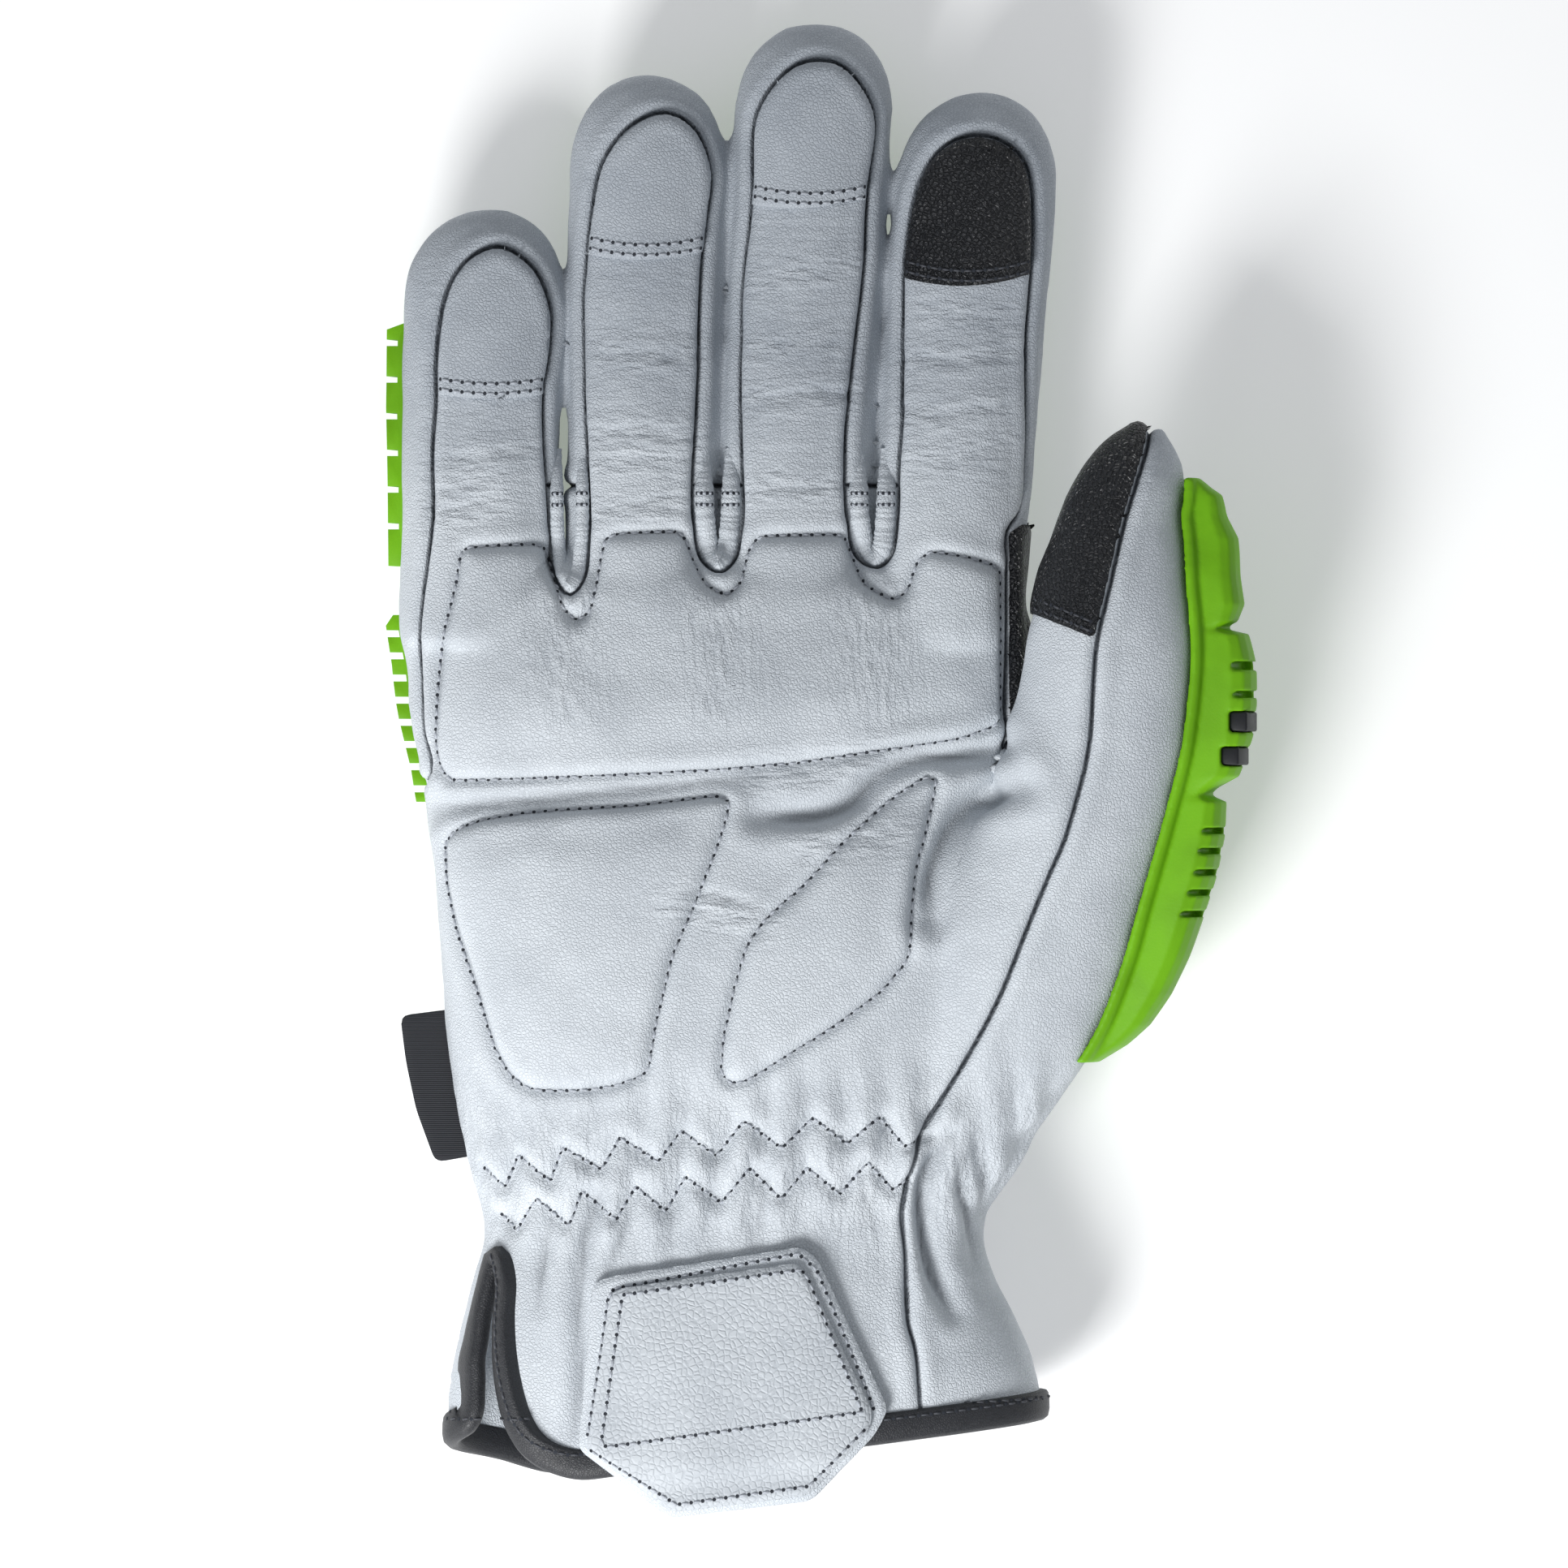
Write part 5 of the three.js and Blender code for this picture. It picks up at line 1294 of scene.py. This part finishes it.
def make_stitches():
    """Every visible row of stitches."""
    s = sizes()
    pads = [(outline_inside(outline, 0.0), True) for outline in PADS.values()]
    sew("pad_stitches", pads, WORK["front"])
    sew("elastic_stitches", [(straight_line(line), False) for line in ELASTIC.values()], WORK["front"], 1.7)
    for name, row in FINGERS.items():
        lines = []
        inner = smooth_line(TIP_SEAMS[name], 0.5)
        half = len(inner) // 2
        low, ends = row[4] * s.length, row[5] * s.length
        for rise in (0.9, 2.6):
            y = ends + rise
            left = inner[np.argmin(np.abs(inner[:half, 1] - y))]
            right = inner[half + np.argmin(np.abs(inner[half:, 1] - y))]
            x = np.linspace(left[0] + 0.8, right[0] - 0.8, 12)
            share = (x - (left[0] + right[0]) / 2) / ((right[0] - left[0]) / 2)
            lines.append((np.stack([x, low + rise + (ends - low) * share**2], 1), False))
        sew("%s_tip_stitches" % name, lines, WORK["patch_" + name], dark=name == "index")
    x = np.linspace(36.0, 48.1, 8)
    base = np.stack([x, thumb_patch_edge(x)], 1)
    sew("thumb_tip_stitches", [(base + (0, 1.0), False), (base + (0, 2.7), False)], WORK["patch_thumb"],
        dark=True)
    sew("tab_stitches", [(straight_line(line), False) for line in TAB_STITCHES], WORK["tab"])
    p, inward, up = WORK["binding"]
    row = p + inward * 3.5 + up * 2.0
    q, f = arrays(bpy.data.objects["cuff_binding_tape"])
    tree = BVHTree.FromPolygons(q.tolist(), f.tolist())
    front = row[(up[:, 2] > 0.2)]
    sew("binding_stitches", [(front[:, :2], False)], tree, 2.2, slot="binding", dark=True)


# Materials

def node_group(name, inputs, outputs):
    """An empty shader node group with named sockets."""
    group = bpy.data.node_groups.new(name, "ShaderNodeTree")
    for label, kind, default in inputs:
        socket = group.interface.new_socket(label, in_out="INPUT", socket_type=kind)
        if default is not None:
            socket.default_value = default
    for label, kind in outputs:
        group.interface.new_socket(label, in_out="OUTPUT", socket_type=kind)
    return group, group.nodes.new("NodeGroupInput"), group.nodes.new("NodeGroupOutput")


def add_node(tree, kind, inputs=None, **values):
    """A node with its settings and its input values or links."""
    node = tree.nodes.new(kind)
    for key, value in values.items():
        setattr(node, key, value)
    for key, value in (inputs or {}).items():
        socket = node.inputs[key]
        if isinstance(value, bpy.types.NodeSocket):
            tree.links.new(value, socket)
        else:
            socket.default_value = value
    return node


def maths(tree, operation, *values):
    """The output of one Math node."""
    return add_node(tree, "ShaderNodeMath", dict(enumerate(values)), operation=operation).outputs[0]


def mapped(tree, value, low, high, to_low=0.0, to_high=1.0):
    """A value mapped smoothly from one range to another."""
    node = add_node(tree, "ShaderNodeMapRange", {"Value": value, "From Min": low, "From Max": high,
                                                 "To Min": to_low, "To Max": to_high})
    node.interpolation_type = "SMOOTHSTEP"
    return node.outputs["Result"]


def grain_group():
    """Pebbled leather grain: height, and a mask of the lines between the pebbles."""
    group = bpy.data.node_groups.get("Leather grain")
    if group:
        return group
    group, enter, leave = node_group(
        "Leather grain",
        (("Vector", "NodeSocketVector", None), ("Cells", "NodeSocketFloat", 1100.0),
         ("Warp", "NodeSocketFloat", 0.0005)),
        (("Height", "NodeSocketFloat"), ("Lines", "NodeSocketFloat")))
    noise = add_node(group, "ShaderNodeTexNoise", {"Vector": enter.outputs["Vector"], "Scale": 700.0,
                                                   "Detail": 2.0})
    shift = add_node(group, "ShaderNodeVectorMath", {0: noise.outputs["Color"], 1: (0.5, 0.5, 0.5)},
                     operation="SUBTRACT")
    warp = add_node(group, "ShaderNodeVectorMath", {0: shift.outputs[0]}, operation="SCALE")
    group.links.new(enter.outputs["Warp"], warp.inputs["Scale"])
    moved = add_node(group, "ShaderNodeVectorMath", {0: enter.outputs["Vector"], 1: warp.outputs[0]},
                     operation="ADD")
    cells = add_node(group, "ShaderNodeTexVoronoi", feature="DISTANCE_TO_EDGE",
                     inputs={"Vector": moved.outputs[0], "Scale": enter.outputs["Cells"]})
    pebble = mapped(group, cells.outputs["Distance"], 0.0, 0.22)
    finer = maths(group, "MULTIPLY", enter.outputs["Cells"], 2.7)
    small = add_node(group, "ShaderNodeTexNoise", {"Vector": enter.outputs["Vector"], "Scale": finer,
                                                   "Detail": 3.0})
    height = maths(group, "ADD", pebble, maths(group, "MULTIPLY", small.outputs["Fac"], 0.35))
    group.links.new(height, leave.inputs["Height"])
    group.links.new(maths(group, "SUBTRACT", 1.0, pebble), leave.inputs["Lines"])
    return group


def new_material(name):
    """A material with an empty tree, its output and its shader."""
    mat = bpy.data.materials.new(name)
    mat.use_nodes = True
    tree = mat.node_tree
    tree.nodes.clear()
    out = tree.nodes.new("ShaderNodeOutputMaterial")
    shader = tree.nodes.new("ShaderNodeBsdfPrincipled")
    tree.links.new(shader.outputs[0], out.inputs[0])
    return mat, tree, shader


def noise_mask(tree, place, scale, detail=2.0):
    """The value of one Noise Texture node."""
    node = add_node(tree, "ShaderNodeTexNoise", {"Vector": place, "Scale": scale, "Detail": detail})
    return node.outputs["Fac"]


def add_bump(tree, height, strength, distance, normal=None):
    """The normal from one Bump node, on top of another normal if one is given."""
    inputs = {"Height": height, "Strength": strength, "Distance": distance}
    if normal is not None:
        inputs["Normal"] = normal
    return add_node(tree, "ShaderNodeBump", inputs).outputs[0]


def mixed(tree, factor, a, b):
    """Two colours mixed by a factor."""
    node = add_node(tree, "ShaderNodeMix", {"Factor": factor}, data_type="RGBA")
    for key, value in (("A", a), ("B", b)):
        socket = [i for i in node.inputs if i.name == key and i.type == "RGBA"][0]
        if isinstance(value, bpy.types.NodeSocket):
            tree.links.new(value, socket)
        else:
            socket.default_value = (*value, 1.0)
    return [o for o in node.outputs if o.type == "RGBA"][0]


def leather_material(name, colour, shade, glossy=False, size=0.62):
    """Grain leather, with painted shade in seams, at pad edges, in folds and wrinkle valleys, and over the
    fingers.
    """
    mat, tree, shader = new_material(name)
    place = tree.nodes.new("ShaderNodeTexCoord").outputs["Object"]
    cells = 1000.0 / size / (1.35 if glossy else 1.0)
    grain = add_node(tree, "ShaderNodeGroup", node_tree=grain_group())
    tree.links.new(place, grain.inputs["Vector"])
    grain.inputs["Cells"].default_value = cells
    seam, pad, fold, across, along = (add_node(tree, "ShaderNodeAttribute", attribute_name=key).outputs["Fac"]
                                      for key in MASKS)
    # Painted shade: groove marks the seam lines, which it dents and darkens; step marks the stitch lines
    # round the pads, which it darkens.
    groove = mapped(tree, seam, 0.12, 0.55, 1.0, 0.0)
    step = mapped(tree, maths(tree, "ABSOLUTE", pad), 0.0, 0.8, 1.0, 0.0)
    cloud = noise_mask(tree, place, 60.0, 4.0)
    tint = mapped(tree, cloud, 0.3, 0.7, 0.0, 0.16)
    lines = maths(tree, "MULTIPLY", grain.outputs["Lines"], 0.10)
    wrinkles = []
    for mask, stretch in ((across, (260.0, 760.0, 400.0)), (along, (760.0, 230.0, 400.0))):
        pulled = add_node(tree, "ShaderNodeVectorMath", {0: place, 1: stretch}, operation="MULTIPLY")
        noise = noise_mask(tree, pulled.outputs[0], 1.0, 3.0)
        wrinkles.append(maths(tree, "MULTIPLY", maths(tree, "SUBTRACT", noise, 0.5), mask))
    wrinkle = maths(tree, "ADD", *wrinkles)
    # Painted shade in seam grooves, at pad edges and in folds, mixed below towards a third of the shade
    # colour.
    dark = maths(tree, "MAXIMUM", maths(tree, "MULTIPLY", groove, 0.95), maths(tree, "MULTIPLY", step, 0.22))
    dark = maths(tree, "MAXIMUM", dark, maths(tree, "MULTIPLY", fold, 0.50))
    reach = tree.nodes.new("ShaderNodeSeparateXYZ")
    tree.links.new(place, reach.inputs[0])
    # Painted shade: the fingers, from 42 to 75 mm up the glove, darken up to 0.42 of the way to the shade
    # colour, as if less light reached them.
    far = mapped(tree, reach.outputs["Y"], 0.042, 0.075, 0.0, 0.0 if glossy else 0.42)
    tone = maths(tree, "ADD", maths(tree, "ADD", tint, lines), far)
    # Painted shade and highlight: the wrinkle height also darkens the colour in wrinkle valleys and lightens
    # it on their ridges.
    base = mixed(tree, maths(tree, "SUBTRACT", tone, maths(tree, "MULTIPLY", wrinkle, 0.6)), colour, shade)
    tree.links.new(mixed(tree, dark, base, [c * 0.35 for c in shade]), shader.inputs["Base Color"])
    rough = mapped(tree, cloud, 0.3, 0.7, 0.28 if glossy else 0.56, 0.40 if glossy else 0.70)
    tree.links.new(rough, shader.inputs["Roughness"])
    strength, distance = (1.0, 0.00055) if glossy else (0.6, 0.00015)
    fine = add_bump(tree, grain.outputs["Height"], strength, distance)
    rumpled = add_bump(tree, wrinkle, 0.9, 0.0008, fine)
    dent = add_bump(tree, maths(tree, "SUBTRACT", 1.0, groove), 0.8, 0.0004, rumpled)
    tree.links.new(dent, shader.inputs["Normal"])
    shader.inputs["Specular IOR Level"].default_value = 0.5 if glossy else 0.35
    return mat


def thread_material(name, colour):
    """Twisted sewing thread."""
    mat = bpy.data.materials.get(name)
    if mat:
        return mat
    mat, tree, shader = new_material(name)
    place = tree.nodes.new("ShaderNodeTexCoord").outputs["Object"]
    wave = noise_mask(tree, place, 2400.0)
    tint = mapped(tree, wave, 0.3, 0.7)
    tree.links.new(mixed(tree, tint, [c * 0.7 for c in colour], colour), shader.inputs["Base Color"])
    tree.links.new(add_bump(tree, wave, 0.6, 0.0001), shader.inputs["Normal"])
    shader.inputs["Roughness"].default_value = 0.6
    return mat


def hole_material():
    """The shade inside a needle hole."""
    mat = bpy.data.materials.get("needle_hole")
    if mat:
        return mat
    mat, tree, shader = new_material("needle_hole")
    place = tree.nodes.new("ShaderNodeTexCoord").outputs["Object"]
    noise = noise_mask(tree, place, 900.0)
    base = mixed(tree, noise, (0.02, 0.022, 0.028), (0.05, 0.055, 0.066))
    tree.links.new(base, shader.inputs["Base Color"])
    shader.inputs["Roughness"].default_value = 0.9
    shader.inputs["Specular IOR Level"].default_value = 0.1
    return mat


def fabric_material():
    """Black woven ribbon."""
    mat, tree, shader = new_material("woven_label")
    place = tree.nodes.new("ShaderNodeTexCoord").outputs["Object"]
    weave = add_node(tree, "ShaderNodeTexWave", {"Vector": place, "Scale": 900.0, "Distortion": 0.4},
                     bands_direction="Y").outputs["Fac"]
    tree.links.new(mixed(tree, weave, [c * 0.8 for c in colours().black], [c * 2.4 for c in colours().black]),
                   shader.inputs["Base Color"])
    tree.links.new(add_bump(tree, weave, 0.6, 0.0002), shader.inputs["Normal"])
    shader.inputs["Roughness"].default_value = 0.85
    return mat


def tape_material():
    """Smooth black tape of the bound edge."""
    mat, tree, shader = new_material("binding")
    place = tree.nodes.new("ShaderNodeTexCoord").outputs["Object"]
    grain = add_node(tree, "ShaderNodeGroup", node_tree=grain_group())
    tree.links.new(place, grain.inputs["Vector"])
    grain.inputs["Cells"].default_value = 2200.0
    base = mixed(tree, grain.outputs["Lines"], [c * 1.6 for c in colours().black], colours().black)
    tree.links.new(base, shader.inputs["Base Color"])
    tree.links.new(add_bump(tree, grain.outputs["Height"], 0.4, 0.0001), shader.inputs["Normal"])
    shader.inputs["Roughness"].default_value = 0.5
    return mat


def rubber_material(name, colour):
    """Satin moulded rubber with a fine texture."""
    mat, tree, shader = new_material(name)
    place = tree.nodes.new("ShaderNodeTexCoord").outputs["Object"]
    fine = noise_mask(tree, place, 2200.0)
    cloud = noise_mask(tree, place, 90.0, 3.0)
    base = mixed(tree, mapped(tree, cloud, 0.3, 0.7), [c * 0.82 for c in colour], colour)
    tree.links.new(base, shader.inputs["Base Color"])
    tree.links.new(mapped(tree, cloud, 0.3, 0.7, 0.46, 0.58), shader.inputs["Roughness"])
    shader.inputs["Specular IOR Level"].default_value = 0.3
    tree.links.new(add_bump(tree, fine, 0.25, 0.00008), shader.inputs["Normal"])
    shader.inputs["Subsurface Weight"].default_value = 0.08
    shader.inputs["Subsurface Radius"].default_value = (0.002, 0.003, 0.0005)
    return mat


# Stage, in millimetres, apart from the key light in metres and watts

FLOOR = 8000.0
KEY_PLACE, KEY_SIZE, KEY_POWER = (-0.32, -0.54, 0.52), 0.28, 6.7
CAMERA_PLACE, CAMERA_LENS = (-5.18, -0.85, 2000.0), 259.1


def make_stage():
    """A plain pale floor, soft light and the camera over the glove."""
    scene = bpy.context.scene
    half = FLOOR / 2
    corners = np.array([(-half, -half, 0), (half, -half, 0), (half, half, 0), (-half, half, 0)])
    floor = new_object("floor", corners, [(0, 1, 2, 3)], False)
    mat, _, shader = new_material("studio_floor")
    for key, value in (("Base Color", (*colours().floor, 1)), ("Roughness", 0.9),
                       ("Emission Color", (1, 1, 1, 1)), ("Emission Strength", 0.25)):
        shader.inputs[key].default_value = value
    floor.data.materials.append(mat)
    world = bpy.data.worlds.new("studio")
    scene.world = world
    world.use_nodes = True
    background = world.node_tree.nodes["Background"]
    background.inputs["Color"].default_value = (0.93, 0.96, 1.0, 1)
    background.inputs["Strength"].default_value = 0.40
    light = bpy.data.lights.new("key", "AREA")
    light.shape = "SQUARE"
    light.size = KEY_SIZE
    light.energy = KEY_POWER
    lamp = bpy.data.objects.new("key", light)
    lamp.location = KEY_PLACE
    lamp.rotation_euler = (Vector((0, 0, 0.02)) - Vector(KEY_PLACE)).to_track_quat("-Z", "Y").to_euler()
    scene.collection.objects.link(lamp)
    camera = bpy.data.objects.new("camera", bpy.data.cameras.new("camera"))
    camera.data.sensor_width = 36
    camera.data.lens = CAMERA_LENS
    camera.location = [k * MM for k in CAMERA_PLACE]
    scene.collection.objects.link(camera)
    scene.camera = camera
    scene.view_settings.view_transform = "Standard"


# Operators

class GLOVE_OT_leather(bpy.types.Operator):
    """Makes the leather panels"""
    bl_idname = "glove.leather"
    bl_label = "Leather panels"

    def execute(self, context):
        make_leather()
        return {"FINISHED"}


class GLOVE_OT_patches(bpy.types.Operator):
    """Makes the patches on the fingertips, thumb and crotch"""
    bl_idname = "glove.patches"
    bl_label = "Patches"

    def execute(self, context):
        make_patches()
        return {"FINISHED"}


class GLOVE_OT_cuff(bpy.types.Operator):
    """Makes the binding, pull tab and label of the cuff"""
    bl_idname = "glove.cuff"
    bl_label = "Cuff"

    def execute(self, context):
        make_binding()
        make_tab()
        make_label()
        return {"FINISHED"}


class GLOVE_OT_guards(bpy.types.Operator):
    """Makes the soft plastic guards"""
    bl_idname = "glove.guards"
    bl_label = "Guards"

    def execute(self, context):
        make_guards()
        return {"FINISHED"}


class GLOVE_OT_stitches(bpy.types.Operator):
    """Sews every row of stitches"""
    bl_idname = "glove.stitches"
    bl_label = "Stitches"

    def execute(self, context):
        make_stitches()
        return {"FINISHED"}


class GLOVE_OT_stage(bpy.types.Operator):
    """Sets floor, lights and camera"""
    bl_idname = "glove.stage"
    bl_label = "Stage"

    def execute(self, context):
        make_stage()
        return {"FINISHED"}


STEPS = (GLOVE_OT_leather, GLOVE_OT_patches, GLOVE_OT_cuff, GLOVE_OT_guards, GLOVE_OT_stitches,
         GLOVE_OT_stage)


class GLOVE_PT_panel(bpy.types.Panel):
    """Lists the steps of the glove"""
    bl_label = "Glove"
    bl_idname = "GLOVE_PT_panel"
    bl_space_type = "VIEW_3D"
    bl_region_type = "UI"
    bl_category = "Glove"

    def draw(self, context):
        for step in STEPS:
            self.layout.operator(step.bl_idname)


CLASSES = (GloveSizes, GloveColours, *STEPS, GLOVE_PT_panel)


def register():
    """Registers the add-on's classes and properties."""
    for cls in CLASSES:
        bpy.utils.register_class(cls)
    bpy.types.Scene.glove_sizes = bpy.props.PointerProperty(type=GloveSizes)
    bpy.types.Scene.glove_colours = bpy.props.PointerProperty(type=GloveColours)


def unregister():
    """Takes them out again."""
    del bpy.types.Scene.glove_sizes
    del bpy.types.Scene.glove_colours
    for cls in reversed(CLASSES):
        bpy.utils.unregister_class(cls)


def main():
    """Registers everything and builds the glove."""
    register()
    for step in STEPS:
        group, name = step.bl_idname.split(".")
        getattr(getattr(bpy.ops, group), name)()


if __name__ == "__main__":
    main()
